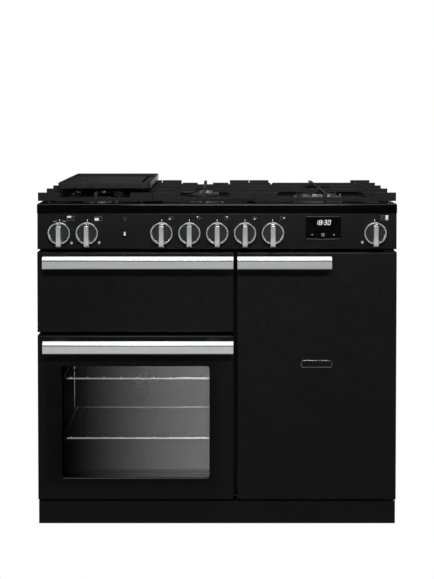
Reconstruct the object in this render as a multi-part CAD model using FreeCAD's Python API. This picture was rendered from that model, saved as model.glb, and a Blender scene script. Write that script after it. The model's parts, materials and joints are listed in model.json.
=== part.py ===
"""Range cooker with two ovens, a glide-out grill, a gas hob and eight controls.

Units are millimetres. X runs to the right, Y to the back and Z up. The origin lies on the floor,
in the middle of the cooker's overall width and depth.
"""
import FreeCAD
import Part
import math
import os

V = FreeCAD.Vector
X_AXIS = V(1, 0, 0)
Y_AXIS = V(0, 1, 0)
Z_AXIS = V(0, 0, 1)

# ---------------------------------------------------------------- overall body
BODY_WIDTH = 992.0
BODY_DEPTH = 600.0
DOOR_PROUD = 5.0
HANDLE_PROUD = 45.0
FRONT_FACE_DEPTH = 43.0
HALF = BODY_WIDTH / 2
BACK_Y = (BODY_DEPTH + DOOR_PROUD + HANDLE_PROUD) / 2
FASCIA_Y = BACK_Y - BODY_DEPTH
DOOR_Y = FASCIA_Y - DOOR_PROUD
FRAME_Y = FASCIA_Y + FRONT_FACE_DEPTH
SHEET = 2.0
SEAT_GAP = 0.3

# ---------------------------------------------------------------- heights
PLINTH_BOTTOM = 12.0
PLINTH_TOP = 75.0
DOOR_BOTTOM = 82.5
OVEN_DOOR_TOP = 540.0
GRILL_BOTTOM = 549.0
DOOR_TOP = 771.0
FASCIA_BOTTOM = 778.5
FASCIA_TOP = 878.5
RIM_TOP = 905.0
BASE_TOP = 78.0

# ---------------------------------------------------------------- doors
MAIN_DOOR_WIDTH = 542.5
DOOR_SPLIT_GAP = 8.0
DOOR_SPLIT_LEFT = -HALF + MAIN_DOOR_WIDTH
DOOR_SPLIT_RIGHT = DOOR_SPLIT_LEFT + DOOR_SPLIT_GAP
DOOR_SEAL_GAP = 3.0
DOOR_BACK_Y = FRAME_Y - DOOR_SEAL_GAP
DOOR_EDGE_RADIUS = 4.0
INNER_PANEL_DEPTH = 10.0
HINGE_INSET = 20.0
HINGE_PIN_RADIUS = 4.0
PIN_CLEARANCE = 0.06
HINGE_EDGE_CHAMFER = 12.0

# ---------------------------------------------------------------- ovens
OVEN_LEFT = -HALF + 50.0
OVEN_RIGHT = DOOR_SPLIT_LEFT - 50.5
MAIN_FLOOR = 118.0
MAIN_CEILING = 500.0
TALL_LEFT = DOOR_SPLIT_RIGHT + 40.5
TALL_RIGHT = HALF - 41.0
TALL_FLOOR = 130.0
TALL_CEILING = 735.0
GRILL_FLOOR = 560.0
GRILL_CEILING = 755.0
OVEN_DEPTH = 400.0
BAFFLE_OFFSET = 32.0
FAN_RADIUS = 70.0
FAN_HEIGHT_MAIN = 285.0
FAN_HEIGHT_TALL = 430.0
WIRE_RADIUS = 3.0
SHELF_PITCH = 47.0
SHELF_DEPTH = 300.0
SHELF_FRONT_Y = FRAME_Y + 17.0
MAIN_SHELF_HEIGHTS = (235.0, 405.0)
TALL_SHELF_HEIGHTS = (235.0, 375.0, 575.0)

WINDOW_LEFT = OVEN_LEFT + 17.0
WINDOW_RIGHT = OVEN_RIGHT - 17.0
WINDOW_BOTTOM = 143.5
WINDOW_TOP = 455.0
WINDOW_RADIUS = 6.0
GLASS_THICKNESS = 4.0
GLASS_LAP = 12.0

# ---------------------------------------------------------------- handles
HANDLE_HEIGHT = 34.6
HANDLE_DEPTH = 20.0
HANDLE_BEVEL = 9.0
POST_WIDTH = 35.0
POST_HEIGHT = 22.0
UPPER_HANDLE_Z = 747.1
LOWER_HANDLE_Z = 515.3
WIDE_HANDLE = (-HALF + 21.0, DOOR_SPLIT_LEFT - 2.0)
WIDE_HANDLE_POSTS = (WIDE_HANDLE[0] + 39.0, WIDE_HANDLE[1] - 56.5)
TALL_HANDLE_LENGTH = 256.5
TALL_HANDLE = (DOOR_SPLIT_RIGHT + 1.0, DOOR_SPLIT_RIGHT + 1.0 + TALL_HANDLE_LENGTH)
TALL_HANDLE_POSTS = (TALL_HANDLE[0] + 58.5, TALL_HANDLE[1] - 41.5)

# ---------------------------------------------------------------- controls
KNOB_Z = 824.0
KNOB_RADIUS = 31.0
KNOB_RIM = 4.5
KNOB_BODY_DEPTH = 12.0
KNOB_DIAL_RECESS = 2.0
KNOB_GAP = 4.5
GRIP_WIDTH = 15.0
GRIP_REACH = 32.0
GRIP_TAIL = 38.0
GRIP_DEPTH = 26.0
SPINDLE_RADIUS = 4.0
SPINDLE_CLEARANCE = 0.08
SPINDLE_HOLE = SPINDLE_RADIUS + 3.0
PUSH_TRAVEL = 4.0
KNOB_PITCH = 76.5
GRILL_KNOB_X = -HALF + 62.0
OVEN_KNOBS = {
    "knob_grill": GRILL_KNOB_X,
    "knob_main_oven": GRILL_KNOB_X + KNOB_PITCH,
    "knob_tall_oven": HALF - 61.0,
}
GAS_KNOBS = 5
GAS_KNOB_MIDDLE = 0.5
GAS_KNOB_X = [GAS_KNOB_MIDDLE + (i - (GAS_KNOBS - 1) / 2) * KNOB_PITCH for i in range(GAS_KNOBS)]
BUTTON_X = GRILL_KNOB_X + 180.1
BUTTON_Z = 822.5
BUTTON_RADIUS = 8.5
BUTTON_TRAVEL = 3.0
BUTTON_PROUD = 7.0
LENS_RADIUS = 4.0
LENS_PLACES = (
    (OVEN_KNOBS["knob_grill"] + 32.7, KNOB_Z - 28.0),
    (OVEN_KNOBS["knob_main_oven"] + 32.3, KNOB_Z - 27.5),
    (OVEN_KNOBS["knob_tall_oven"] - 34.0, KNOB_Z - 26.0),
)
CLOCK_WIDTH = 97.5
CLOCK_LEFT = HALF - 251.5
CLOCK_RIGHT = CLOCK_LEFT + CLOCK_WIDTH
CLOCK_BOTTOM = 804.6
CLOCK_TOP = 870.0
CLOCK_PROUD = 2.5
CLOCK_DEPTH = 28.0

# ---------------------------------------------------------------- hob
HOB_OVERHANG = 1.25
HOB_WIDTH = BODY_WIDTH + 2 * HOB_OVERHANG
HOB_FRONT_Y = FASCIA_Y - 2.0
HOB_BACK_Y = BACK_Y - 63.0
HOB_SKIRT_BOTTOM = FASCIA_TOP + 0.5
HOB_WELL_DEPTH = 8.0
HOB_RIM_WIDTH = 16.0
HOB_EDGE_RADIUS = 5.0
SUPPORT_OVERHANG = 2.0
SUPPORT_GAP = 2.0
LEFT_SUPPORT_WIDTH = 318.5
MIDDLE_SUPPORT_WIDTH = 281.5
LEFT_SUPPORT_X = -HALF - SUPPORT_OVERHANG
MIDDLE_SUPPORT_X = LEFT_SUPPORT_X + LEFT_SUPPORT_WIDTH + SUPPORT_GAP
RIGHT_SUPPORT_X = MIDDLE_SUPPORT_X + MIDDLE_SUPPORT_WIDTH + SUPPORT_GAP
SUPPORT_EDGES = (
    LEFT_SUPPORT_X,
    MIDDLE_SUPPORT_X - SUPPORT_GAP,
    MIDDLE_SUPPORT_X,
    RIGHT_SUPPORT_X - SUPPORT_GAP,
    RIGHT_SUPPORT_X,
    HALF + SUPPORT_OVERHANG,
)
SUPPORT_FRONT_Y = FASCIA_Y + 30.0
SUPPORT_RIBS = (0.0, 145.0, 265.0, 380.0, 495.0)
BURNER_FRONT_Y = SUPPORT_FRONT_Y + SUPPORT_RIBS[1] - 10.0
BURNER_MID_Y = SUPPORT_FRONT_Y + SUPPORT_RIBS[2]
BURNER_REAR_Y = SUPPORT_FRONT_Y + SUPPORT_RIBS[3]
LEFT_BURNER_X = LEFT_SUPPORT_X + 160.0
MID_BURNER_X = MIDDLE_SUPPORT_X + 140.5
RIGHT_BURNER_X = (RIGHT_SUPPORT_X + HALF + SUPPORT_OVERHANG) / 2 - 0.5
BURNER_HEIGHT = 20.0
CAP_THICKNESS = 5.0
BURNERS = (
    ("rear_left", LEFT_BURNER_X, BURNER_REAR_Y, 36.0),
    ("front_left", LEFT_BURNER_X, BURNER_FRONT_Y, 42.0),
    ("front_middle", MID_BURNER_X, BURNER_FRONT_Y, 49.0),
    ("rear_middle", MID_BURNER_X, BURNER_REAR_Y, 36.0),
    ("right_wok", RIGHT_BURNER_X, BURNER_MID_Y, 70.0),
)

# ---------------------------------------------------------------- pan supports and griddle
SUPPORT_TOP = 933.0
SUPPORT_BAR_TOP = 919.5
SUPPORT_BAR_BOTTOM = 910.0
SUPPORT_BAR_WIDTH = 10.0
RIB_WIDTH = 9.0
RIB_BLOCK_LENGTH = 62.0
FINGER_HEIGHT = 9.0
FOOT_RADIUS = 5.0
FOOT_INSET = 30.0
GRIDDLE_WIDTH = 261.5
GRIDDLE_LENGTH = 408.0
GRIDDLE_LEFT = LEFT_SUPPORT_X + 48.0
GRIDDLE_RIGHT = GRIDDLE_LEFT + GRIDDLE_WIDTH
GRIDDLE_FRONT_Y = FASCIA_Y + 75.0
GRIDDLE_BACK_Y = GRIDDLE_FRONT_Y + GRIDDLE_LENGTH
GRIDDLE_TOP = 958.0
GRIDDLE_SKIRT_BOTTOM = 941.5
GRIDDLE_RIM = 8.0
GRIDDLE_WELL = 7.0
GRIDDLE_DRAIN_WIDTH = 26.0

# ---------------------------------------------------------------- grill drawer
RUNNER_Z = 612.0
RUNNER_HEIGHT = 40.0
RUNNER_WALL = 2.0
RUNNER_REACH = 12.0
RUNNER_GAP = 0.4
RUNNER_LENGTH = 370.0
PAN_HEIGHT = 36.0
PAN_DEPTH = 330.0
PAN_LIP = 12.0

# ---------------------------------------------------------------- feet, rollers and gas supply
ROLLER_RADIUS = 22.0
ROLLER_WIDTH = 24.0
ROLLER_INSET = 60.0
ROLLER_Y = BACK_Y - 55.0
AXLE_RADIUS = 5.0
FOOT_PAD_RADIUS = 20.0
FOOT_Y = FRAME_Y + 45.0
FOOT_X = HALF - 55.0
RAIL_RADIUS = 9.0
INLET_RADIUS = 10.5
INLET_BORE = 7.0
INLET_X = HALF - 116.0
INLET_Z = 690.0
INLET_LENGTH = 16.0


def box(x, y, z):
    """A block between the (low, high) pairs given for each axis."""
    return Part.makeBox(x[1] - x[0], y[1] - y[0], z[1] - z[0], V(x[0], y[0], z[0]))


def rod(start, axis, radius, length):
    """A round bar from start along axis."""
    return Part.makeCylinder(radius, length, V(*start), axis)


def rounded_slab(x, z, y, radius):
    """A slab that faces the front, with its four upright corners rounded in the X-Z plane."""
    slab = box(x, y, z)
    edges = [e for e in slab.Edges if abs(e.tangentAt(e.FirstParameter).y) > 0.9]
    return slab.makeFillet(radius, edges)


def rounded_tray_block(x, y, z, radius):
    """A block with its four vertical edges rounded."""
    block = box(x, y, z)
    edges = [e for e in block.Edges if abs(e.tangentAt(e.FirstParameter).z) > 0.9]
    return block.makeFillet(radius, edges)


def front_edges(shape, y):
    """The edges of a shape that lie in the plane of constant y."""
    return [e for e in shape.Edges if all(abs(v.Y - y) < 0.01 for v in e.Vertexes)]


def soften_front(shape, y, radius):
    """Rounds the edges of the face at y."""
    return shape.makeFillet(radius, front_edges(shape, y))


def fused(shapes):
    """One solid from overlapping shapes, with seams between flat faces removed."""
    return shapes[0].multiFuse(shapes[1:]).removeSplitter()


def grouped(shapes):
    """Separate solids kept together in one sub-part."""
    return Part.makeCompound([s for shape in shapes for s in shape.Solids])


def prism(points, direction):
    """A straight-sided solid from a closed outline, swept along direction."""
    corners = [V(*p) for p in points]
    return Part.Face(Part.makePolygon(corners + corners[:1])).extrude(direction)


PARTS = {}


def part(name, shape):
    """Keeps a finished sub-part under its name."""
    PARTS[name] = shape
    return shape


# ================================================================ casing
BACK_RECESS = 30.0
BACK_PANEL_Y = BACK_Y - BACK_RECESS
SIDE_FLANGE = 18.0
BASE_INSET = 20.0
BASE_BOTTOM = 34.0
PLINTH_SETBACK = 7.0
PLINTH_RETURN = 60.0
PLINTH_SHEET = 1.5
BRACKET_THICKNESS = 3.0
BRACKET_WIDTH = 26.0


def side_panel(side):
    """A folded side sheet with a top flange that carries the hob and a rear flange."""
    inner, outer = side * (HALF - SHEET), side * HALF
    flange = side * (HALF - SHEET - SIDE_FLANGE)
    y = (FRAME_Y, BACK_PANEL_Y)
    sheet = box(sorted((inner, outer)), (FRAME_Y, BACK_Y - SHEET), (BASE_TOP, FASCIA_TOP))
    top = box(sorted((flange, inner)), y, (FASCIA_TOP - SHEET, FASCIA_TOP))
    back = box(sorted((flange, inner)), (BACK_PANEL_Y - SHEET, BACK_PANEL_Y), (BASE_TOP, FASCIA_TOP))
    return fused([sheet, top, back])


VENT_SLOT = (60.0, 6.0)
VENT_PITCH = (90.0, 16.0)
VENT_COLUMNS = 8
VENT_ROWS = 3


def back_panel():
    """The rear sheet, with vent slots near its top and holes for the gas inlet and the wiring."""
    panel = box((-HALF + SHEET, HALF - SHEET), (BACK_PANEL_Y, BACK_PANEL_Y + SHEET), (BASE_TOP, FASCIA_TOP))
    cuts = [rod((INLET_X, BACK_PANEL_Y - 1, INLET_Z), Y_AXIS, INLET_RADIUS + 2.5, SHEET + 2)]
    for column in range(VENT_COLUMNS):
        for row in range(VENT_ROWS):
            x = (column - (VENT_COLUMNS - 1) / 2) * VENT_PITCH[0]
            z = FASCIA_TOP - 60 - row * VENT_PITCH[1]
            half = VENT_SLOT[0] / 2
            cuts.append(
                rounded_slab(
                    (x - half, x + half),
                    (z, z + VENT_SLOT[1]),
                    (BACK_PANEL_Y - 1, BACK_PANEL_Y + SHEET + 1),
                    VENT_SLOT[1] / 2 - 0.05,
                )
            )
    return panel.cut(Part.makeCompound(cuts))


def roller_bracket(side):
    """A fork under the base with the fixed axle pin of one rear roller."""
    x = side * (HALF - ROLLER_INSET)
    half = ROLLER_WIDTH / 2 + SEAT_GAP
    cheeks = []
    for turn in (-1, 1):
        a = x + turn * half
        b = x + turn * (half + BRACKET_THICKNESS)
        cheeks.append(
            box(sorted((a, b)), (ROLLER_Y - 14, ROLLER_Y + 14), (ROLLER_RADIUS - 12, BASE_TOP - SHEET))
        )
    reach = half + BRACKET_THICKNESS
    pin = rod((x - reach, ROLLER_Y, ROLLER_RADIUS), X_AXIS, AXLE_RADIUS, 2 * reach)
    return cheeks + [pin]


def base_chassis():
    """The base tray with its rails, roller forks and the lugs that hold the plinth."""
    x_out = HALF - SHEET
    x_rail = HALF - BASE_INSET
    y = (FRAME_Y, BACK_PANEL_Y)
    pieces = [box((-x_out, x_out), y, (BASE_TOP - SHEET, BASE_TOP))]
    for side in (-1, 1):
        pieces.append(box(sorted((side * x_rail, side * (x_rail - SHEET))), y, (BASE_BOTTOM, BASE_TOP)))
        pieces += roller_bracket(side)
        boss_x = side * FOOT_X
        pieces.append(rod((boss_x, FOOT_Y, BASE_BOTTOM), Z_AXIS, 12.0, BASE_TOP - BASE_BOTTOM))
        lug_x = side * (HALF - 200)
        lug_y = (FASCIA_Y + PLINTH_SETBACK + PLINTH_SHEET, FRAME_Y)
        pieces.append(box((lug_x - 20, lug_x + 20), lug_y, (BASE_BOTTOM, BASE_BOTTOM + BRACKET_THICKNESS)))
    for rail_y in (FRAME_Y, BACK_PANEL_Y - SHEET):
        pieces.append(box((-x_rail, x_rail), (rail_y, rail_y + SHEET), (BASE_BOTTOM, BASE_TOP)))
    chassis = fused(pieces)
    for side in (-1, 1):
        hole = rod((side * FOOT_X, FOOT_Y, 0), Z_AXIS, FOOT_STEM_RADIUS + PIN_CLEARANCE, BASE_TOP - 6)
        chassis = chassis.cut(hole)
    return chassis


FOOT_STEM_RADIUS = 6.0
FOOT_PAD_HEIGHT = 8.0


def levelling_foot(side):
    """A screw foot: a round pad with a hexagon collar and a plain stem up into the base."""
    x = side * FOOT_X
    pad = rod((x, FOOT_Y, 0), Z_AXIS, FOOT_PAD_RADIUS, FOOT_PAD_HEIGHT)
    pad = soften_top(pad, FOOT_PAD_HEIGHT, 2.0)
    stem = rod((x, FOOT_Y, FOOT_PAD_HEIGHT - 2), Z_AXIS, FOOT_STEM_RADIUS, 58.0)
    return fused([pad, stem])


def soften_top(shape, z, radius):
    """Rounds the edges of the face at z."""
    edges = [e for e in shape.Edges if all(abs(v.Z - z) < 0.01 for v in e.Vertexes)]
    return shape.makeFillet(radius, edges)


def plinth():
    """The kick strip: a folded front face with a top lip and short side returns."""
    front = FASCIA_Y + PLINTH_SETBACK
    outer = rounded_tray_block((-HALF, HALF), (front, front + PLINTH_RETURN), (PLINTH_BOTTOM, PLINTH_TOP), 3)
    t = PLINTH_SHEET
    inner = box((-HALF + t, HALF - t), (front + t, front + PLINTH_RETURN + 1), (PLINTH_BOTTOM - 1, PLINTH_TOP - t))
    step = box((-HALF + t, HALF - t), (front + 14, front + PLINTH_RETURN + 1), (PLINTH_BOTTOM, PLINTH_TOP + 1))
    return outer.cut(inner).cut(step)


MAIN_PIVOT_Y = DOOR_Y + HINGE_INSET
MAIN_PIVOT_Z = DOOR_BOTTOM + HINGE_INSET
TALL_PIVOT_X = HALF - HINGE_INSET
TALL_PIVOT_Y = DOOR_Y + HINGE_INSET
MAIN_HINGE_X = (-HALF + 36.0, DOOR_SPLIT_LEFT - 36.5)
HINGE_BOSS = 7.0
HINGE_SLOT_SIDE = 0.5
TALL_PIN_LENGTH = 14.0
TALL_BRACKET_CLEARANCE = 1.5


def main_hinge_bracket(x):
    """The fixed plate of the drop-down door's hinge, with an eye round the pivot pin."""
    half = BRACKET_THICKNESS / 2
    bar = box(
        (x - half, x + half),
        (MAIN_PIVOT_Y, FRAME_Y),
        (MAIN_PIVOT_Z - HINGE_BOSS, MAIN_PIVOT_Z + HINGE_BOSS),
    )
    eye = rod((x - half, MAIN_PIVOT_Y, MAIN_PIVOT_Z), X_AXIS, HINGE_BOSS, BRACKET_THICKNESS)
    hole = rod(
        (x - half - 1, MAIN_PIVOT_Y, MAIN_PIVOT_Z),
        X_AXIS,
        HINGE_PIN_RADIUS + PIN_CLEARANCE,
        BRACKET_THICKNESS + 2,
    )
    return bar.fuse(eye).cut(hole)


def tall_hinge_bracket(z_plate, pin_up):
    """A horizontal plate above or below the tall door, with its pin."""
    x = (TALL_PIVOT_X - BRACKET_WIDTH / 2, TALL_PIVOT_X + 10)
    plate = box(x, (TALL_PIVOT_Y - 8, FRAME_Y), (z_plate, z_plate + BRACKET_THICKNESS))
    start = z_plate + BRACKET_THICKNESS if pin_up else z_plate - TALL_PIN_LENGTH
    pin = rod((TALL_PIVOT_X, TALL_PIVOT_Y, start), Z_AXIS, HINGE_PIN_RADIUS, TALL_PIN_LENGTH)
    return plate.fuse(pin)


def front_frame():
    """The stamped front frame with its three openings and the hinge brackets of both doors."""
    x_out = HALF - SHEET
    y = (FRAME_Y, FRAME_Y + SHEET)
    frame = box((-x_out, x_out), y, (BASE_TOP, FASCIA_BOTTOM))
    through = (FRAME_Y - 1, FRAME_Y + SHEET + 1)
    for x, z in (
        ((OVEN_LEFT, OVEN_RIGHT), (MAIN_FLOOR, MAIN_CEILING)),
        ((OVEN_LEFT, OVEN_RIGHT), (GRILL_FLOOR, GRILL_CEILING)),
        ((TALL_LEFT, TALL_RIGHT), (TALL_FLOOR, TALL_CEILING)),
    ):
        frame = frame.cut(rounded_slab(x, z, through, 8.0))
    low = DOOR_BOTTOM - TALL_BRACKET_CLEARANCE - BRACKET_THICKNESS
    high = DOOR_TOP + TALL_BRACKET_CLEARANCE
    pieces = [frame, tall_hinge_bracket(low, True), tall_hinge_bracket(high, False)]
    pieces += [main_hinge_bracket(x) for x in MAIN_HINGE_X]
    return fused(pieces)


# ================================================================ control panel
def control_panel():
    """The fascia: a folded enamel panel with holes for every control, and the clock's cut-out."""
    y = (FASCIA_Y, FRAME_Y)
    outer = soften_front(box((-HALF, HALF), y, (FASCIA_BOTTOM, FASCIA_TOP)), FASCIA_Y, 3.0)
    t = SHEET
    inner = box((-HALF + t, HALF - t), (FASCIA_Y + t, FRAME_Y + 1), (FASCIA_BOTTOM + t, FASCIA_TOP - t))
    panel = outer.cut(inner)
    through = 3 * t
    holes = []
    for x in list(OVEN_KNOBS.values()) + list(GAS_KNOB_X):
        holes.append(rod((x, FASCIA_Y - t, KNOB_Z), Y_AXIS, SPINDLE_HOLE, through))
    holes.append(rod((BUTTON_X, FASCIA_Y - t, BUTTON_Z), Y_AXIS, BUTTON_RADIUS + SEAT_GAP, through))
    for x, z in LENS_PLACES:
        holes.append(rod((x, FASCIA_Y - t, z), Y_AXIS, LENS_RADIUS, through))
    holes.append(
        rounded_slab(
            (CLOCK_LEFT + 2, CLOCK_RIGHT - 2),
            (CLOCK_BOTTOM + 2, CLOCK_TOP - 2),
            (FASCIA_Y - t, FASCIA_Y + 2 * t),
            3.0,
        )
    )
    return panel.cut(Part.makeCompound(holes))


def clock_module():
    """The programmer: a glossy bezel on the fascia with its housing behind the cut-out."""
    bezel = rounded_slab(
        (CLOCK_LEFT, CLOCK_RIGHT), (CLOCK_BOTTOM, CLOCK_TOP), (FASCIA_Y - CLOCK_PROUD, FASCIA_Y), 5.0
    )
    bezel = soften_front(bezel, FASCIA_Y - CLOCK_PROUD, 1.2)
    inset = 2 + SEAT_GAP
    housing = rounded_slab(
        (CLOCK_LEFT + inset, CLOCK_RIGHT - inset),
        (CLOCK_BOTTOM + inset, CLOCK_TOP - inset),
        (FASCIA_Y - 1, FASCIA_Y + CLOCK_DEPTH),
        2.7,
    )
    return fused([bezel, housing])


def indicator_lenses():
    """Three neon lenses, each a domed stud in its hole."""
    lenses = []
    for x, z in LENS_PLACES:
        lens = rod((x, FASCIA_Y - 1.5, z), Y_AXIS, LENS_RADIUS, 8.0)
        lenses.append(soften_front(lens, FASCIA_Y - 1.5, 1.2))
    return grouped(lenses)


def light_button():
    """The round push button of the oven light, with a dished face and a guide stem."""
    front = FASCIA_Y - BUTTON_PROUD
    cap = rod((BUTTON_X, front, BUTTON_Z), Y_AXIS, BUTTON_RADIUS, BUTTON_PROUD + 12)
    cap = soften_front(cap, front, 1.5)
    dish = rod((BUTTON_X, front - 1, BUTTON_Z), Y_AXIS, BUTTON_RADIUS - 4, 1.8)
    stem = rod((BUTTON_X, FASCIA_Y + 11, BUTTON_Z), Y_AXIS, 3.0, 8.0)
    return fused([cap.cut(dish), stem])


BUTTON_SWITCH_Y = FASCIA_Y + 19.0 + BUTTON_TRAVEL + SEAT_GAP


def knob(x, spindle_tip_y):
    """A control knob: chrome ring, recessed dial with its spindle, and the tall grip bar."""
    back = FASCIA_Y - KNOB_GAP
    front = back - KNOB_BODY_DEPTH
    disc = rod((x, front, KNOB_Z), Y_AXIS, KNOB_RADIUS, KNOB_BODY_DEPTH)
    core = rod((x, front - 1, KNOB_Z), Y_AXIS, KNOB_RADIUS - KNOB_RIM, KNOB_BODY_DEPTH + 2)
    ring = soften_front(disc.cut(core), front, 1.6)
    dial = rod(
        (x, front + KNOB_DIAL_RECESS, KNOB_Z),
        Y_AXIS,
        KNOB_RADIUS - KNOB_RIM,
        KNOB_BODY_DEPTH - KNOB_DIAL_RECESS,
    )
    spindle = rod((x, back - 1, KNOB_Z), Y_AXIS, SPINDLE_RADIUS, spindle_tip_y - back + 1)
    half = GRIP_WIDTH / 2
    tip = front - GRIP_DEPTH
    base = front + KNOB_DIAL_RECESS
    tail_front = front - 6
    outline = [
        (x - half, base, KNOB_Z + GRIP_REACH - 4),
        (x - half, front - 3, KNOB_Z + GRIP_REACH),
        (x - half, tip, KNOB_Z + GRIP_REACH - 7),
        (x - half, tip, KNOB_Z - GRIP_TAIL + 9),
        (x - half, tail_front, KNOB_Z - GRIP_TAIL),
        (x - half, front - 0.5, KNOB_Z - GRIP_TAIL),
        (x - half, front - 0.5, KNOB_Z - KNOB_RADIUS + KNOB_RIM),
        (x - half, base, KNOB_Z - KNOB_RADIUS + KNOB_RIM),
    ]
    grip = prism(outline, V(GRIP_WIDTH, 0, 0))
    long_edges = [
        e
        for e in grip.Edges
        if abs(e.tangentAt(e.FirstParameter).x) < 0.01
        and all(v.Y < front - 2 for v in e.Vertexes)
    ]
    grip = grip.makeFillet(2.5, long_edges)
    ring = ring.cut(grip)
    return grouped([ring, fused([dial, spindle]), grip])


# ================================================================ gas train and switches
TAP_RADIUS = 11.0
TAP_FRONT_Y = FASCIA_Y + 29.0
PLUNGER_RADIUS = 8.0
PLUNGER_THICKNESS = 5.0
SWITCH_SIDE = 42.0
SWITCH_DEPTH = 34.0
SWITCH_NECK_WALL = 3.5
TAP_SPINDLE_TIP = TAP_FRONT_Y + 14.0
PIPE_RADIUS = 4.0
PIPE_BEND = 14.0


def spindle_bore(x, y0, y1):
    """The clearance bore round one spindle."""
    return rod((x, y0, KNOB_Z), Y_AXIS, SPINDLE_RADIUS + SPINDLE_CLEARANCE, y1 - y0)


def tap_plunger(x):
    """The spring-loaded collar that a gas knob pushes in before it turns."""
    front = TAP_FRONT_Y - PUSH_TRAVEL - SEAT_GAP - PLUNGER_THICKNESS
    collar = rod((x, front, KNOB_Z), Y_AXIS, PLUNGER_RADIUS, PLUNGER_THICKNESS)
    return collar.cut(spindle_bore(x, front - 1, front + PLUNGER_THICKNESS + 1))


def tap_and_switch_bodies():
    """Five gas taps, three rotary switches and the light switch, in line behind the fascia."""
    bodies = []
    for x in GAS_KNOB_X:
        body = rod((x, TAP_FRONT_Y, KNOB_Z), Y_AXIS, TAP_RADIUS, RAIL_CENTRE_Y - RAIL_RADIUS - TAP_FRONT_Y)
        outlet = rod((x, TAP_FRONT_Y + 10, KNOB_Z), Z_AXIS, PIPE_RADIUS + 2, TAP_RADIUS + 6)
        body = body.fuse(outlet)
        bodies.append(body.cut(spindle_bore(x, TAP_FRONT_Y - 1, TAP_SPINDLE_TIP + PUSH_TRAVEL + 1)))
    bodies += [rotary_switch(x) for x in OVEN_KNOBS.values()]
    bodies.append(light_switch())
    return grouped(bodies)


def rotary_switch(x):
    """An oven or grill selector: its square case and the neck that fixes it to the fascia."""
    half = SWITCH_SIDE / 2
    y = (TAP_FRONT_Y, TAP_FRONT_Y + SWITCH_DEPTH)
    case = rounded_slab((x - half, x + half), (KNOB_Z - half, KNOB_Z + half), y, 4.0)
    start = FASCIA_Y + SHEET
    length = TAP_FRONT_Y - start
    neck = rod((x, start, KNOB_Z), Y_AXIS, SPINDLE_HOLE + SWITCH_NECK_WALL, length + 1)
    hollow = rod((x, start - 1, KNOB_Z), Y_AXIS, SPINDLE_HOLE, length + 1)
    return case.fuse(neck).cut(hollow).cut(spindle_bore(x, TAP_FRONT_Y - 1, TAP_SPINDLE_TIP + 1))


def light_switch():
    """The light switch: its box and the sleeve round the button that fixes it to the fascia."""
    half = BUTTON_RADIUS + 4
    y = (BUTTON_SWITCH_Y, BUTTON_SWITCH_Y + 22)
    case = rounded_slab((BUTTON_X - half, BUTTON_X + half), (BUTTON_Z - half, BUTTON_Z + half), y, 2.0)
    start = FASCIA_Y + SHEET
    sleeve = rod((BUTTON_X, start, BUTTON_Z), Y_AXIS, half, BUTTON_SWITCH_Y + 1 - start)
    bore = rod((BUTTON_X, start - 1, BUTTON_Z), Y_AXIS, BUTTON_RADIUS + SEAT_GAP, BUTTON_SWITCH_Y + 1 - start)
    return case.fuse(sleeve).cut(bore)


RAIL_CENTRE_Y = TAP_FRONT_Y + 34.0
RAIL_LEFT = GAS_KNOB_X[0] - 62.5


def gas_rail():
    """The manifold pipe behind the taps, its feed down the back and the threaded inlet."""
    rail = rod((RAIL_LEFT, RAIL_CENTRE_Y, KNOB_Z), X_AXIS, RAIL_RADIUS, INLET_X - RAIL_LEFT)
    run_back = rod(
        (INLET_X, RAIL_CENTRE_Y, KNOB_Z), Y_AXIS, RAIL_RADIUS, BACK_PANEL_Y - 40 - RAIL_CENTRE_Y
    )
    drop = rod((INLET_X, BACK_PANEL_Y - 40, INLET_Z), Z_AXIS, RAIL_RADIUS, KNOB_Z - INLET_Z)
    boss = rod((INLET_X, BACK_PANEL_Y - 40, INLET_Z), Y_AXIS, INLET_RADIUS + 2, 40 + SHEET)
    spigot = rod((INLET_X, BACK_PANEL_Y, INLET_Z), Y_AXIS, INLET_RADIUS, SHEET + INLET_LENGTH)
    corners = [
        Part.makeSphere(RAIL_RADIUS, V(INLET_X, RAIL_CENTRE_Y, KNOB_Z)),
        Part.makeSphere(RAIL_RADIUS, V(INLET_X, BACK_PANEL_Y - 40, KNOB_Z)),
        Part.makeSphere(INLET_RADIUS + 2, V(INLET_X, BACK_PANEL_Y - 40, INLET_Z)),
    ]
    pipe = rail.multiFuse([run_back, drop, boss, spigot] + corners)
    bore = rod((INLET_X, BACK_PANEL_Y - 20, INLET_Z), Y_AXIS, INLET_BORE, INLET_LENGTH + 22)
    return pipe.cut(bore)


def pipe_path(points, bend):
    """A wire of straight runs with a tangent arc at every inner point."""
    edges = []
    start = V(*points[0])
    for i in range(1, len(points) - 1):
        before, corner, after = (V(*points[k]) for k in (i - 1, i, i + 1))
        u = (before - corner).normalize()
        w = (after - corner).normalize()
        turn = math.pi - u.getAngle(w)
        reach = bend * math.tan(turn / 2)
        first = corner + u * reach
        last = corner + w * reach
        inward = (u + w).normalize()
        middle = corner + inward * (bend / math.cos(turn / 2) - bend)
        edges.append(Part.makeLine(start, first))
        edges.append(Part.Arc(first, middle, last).toShape())
        start = last
    edges.append(Part.makeLine(start, V(*points[-1])))
    return Part.Wire(edges)


def burner_pipe(tap_x, burner_x, burner_y, level):
    """One feed pipe from a tap's outlet to the underside of its burner."""
    outlet_y = TAP_FRONT_Y + 10
    points = [
        (tap_x, outlet_y, KNOB_Z + TAP_RADIUS + 6),
        (tap_x, outlet_y, level),
        (tap_x, burner_y, level),
        (burner_x, burner_y, level),
    ]
    if abs(tap_x - burner_x) < 3 * PIPE_BEND:
        points = points[:2] + [(tap_x, burner_y, level)]
    wire = pipe_path(points, PIPE_BEND)
    profile = Part.Wire(Part.makeCircle(PIPE_RADIUS, V(*points[0]), Z_AXIS))
    return wire.makePipeShell([profile], True, True)


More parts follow.
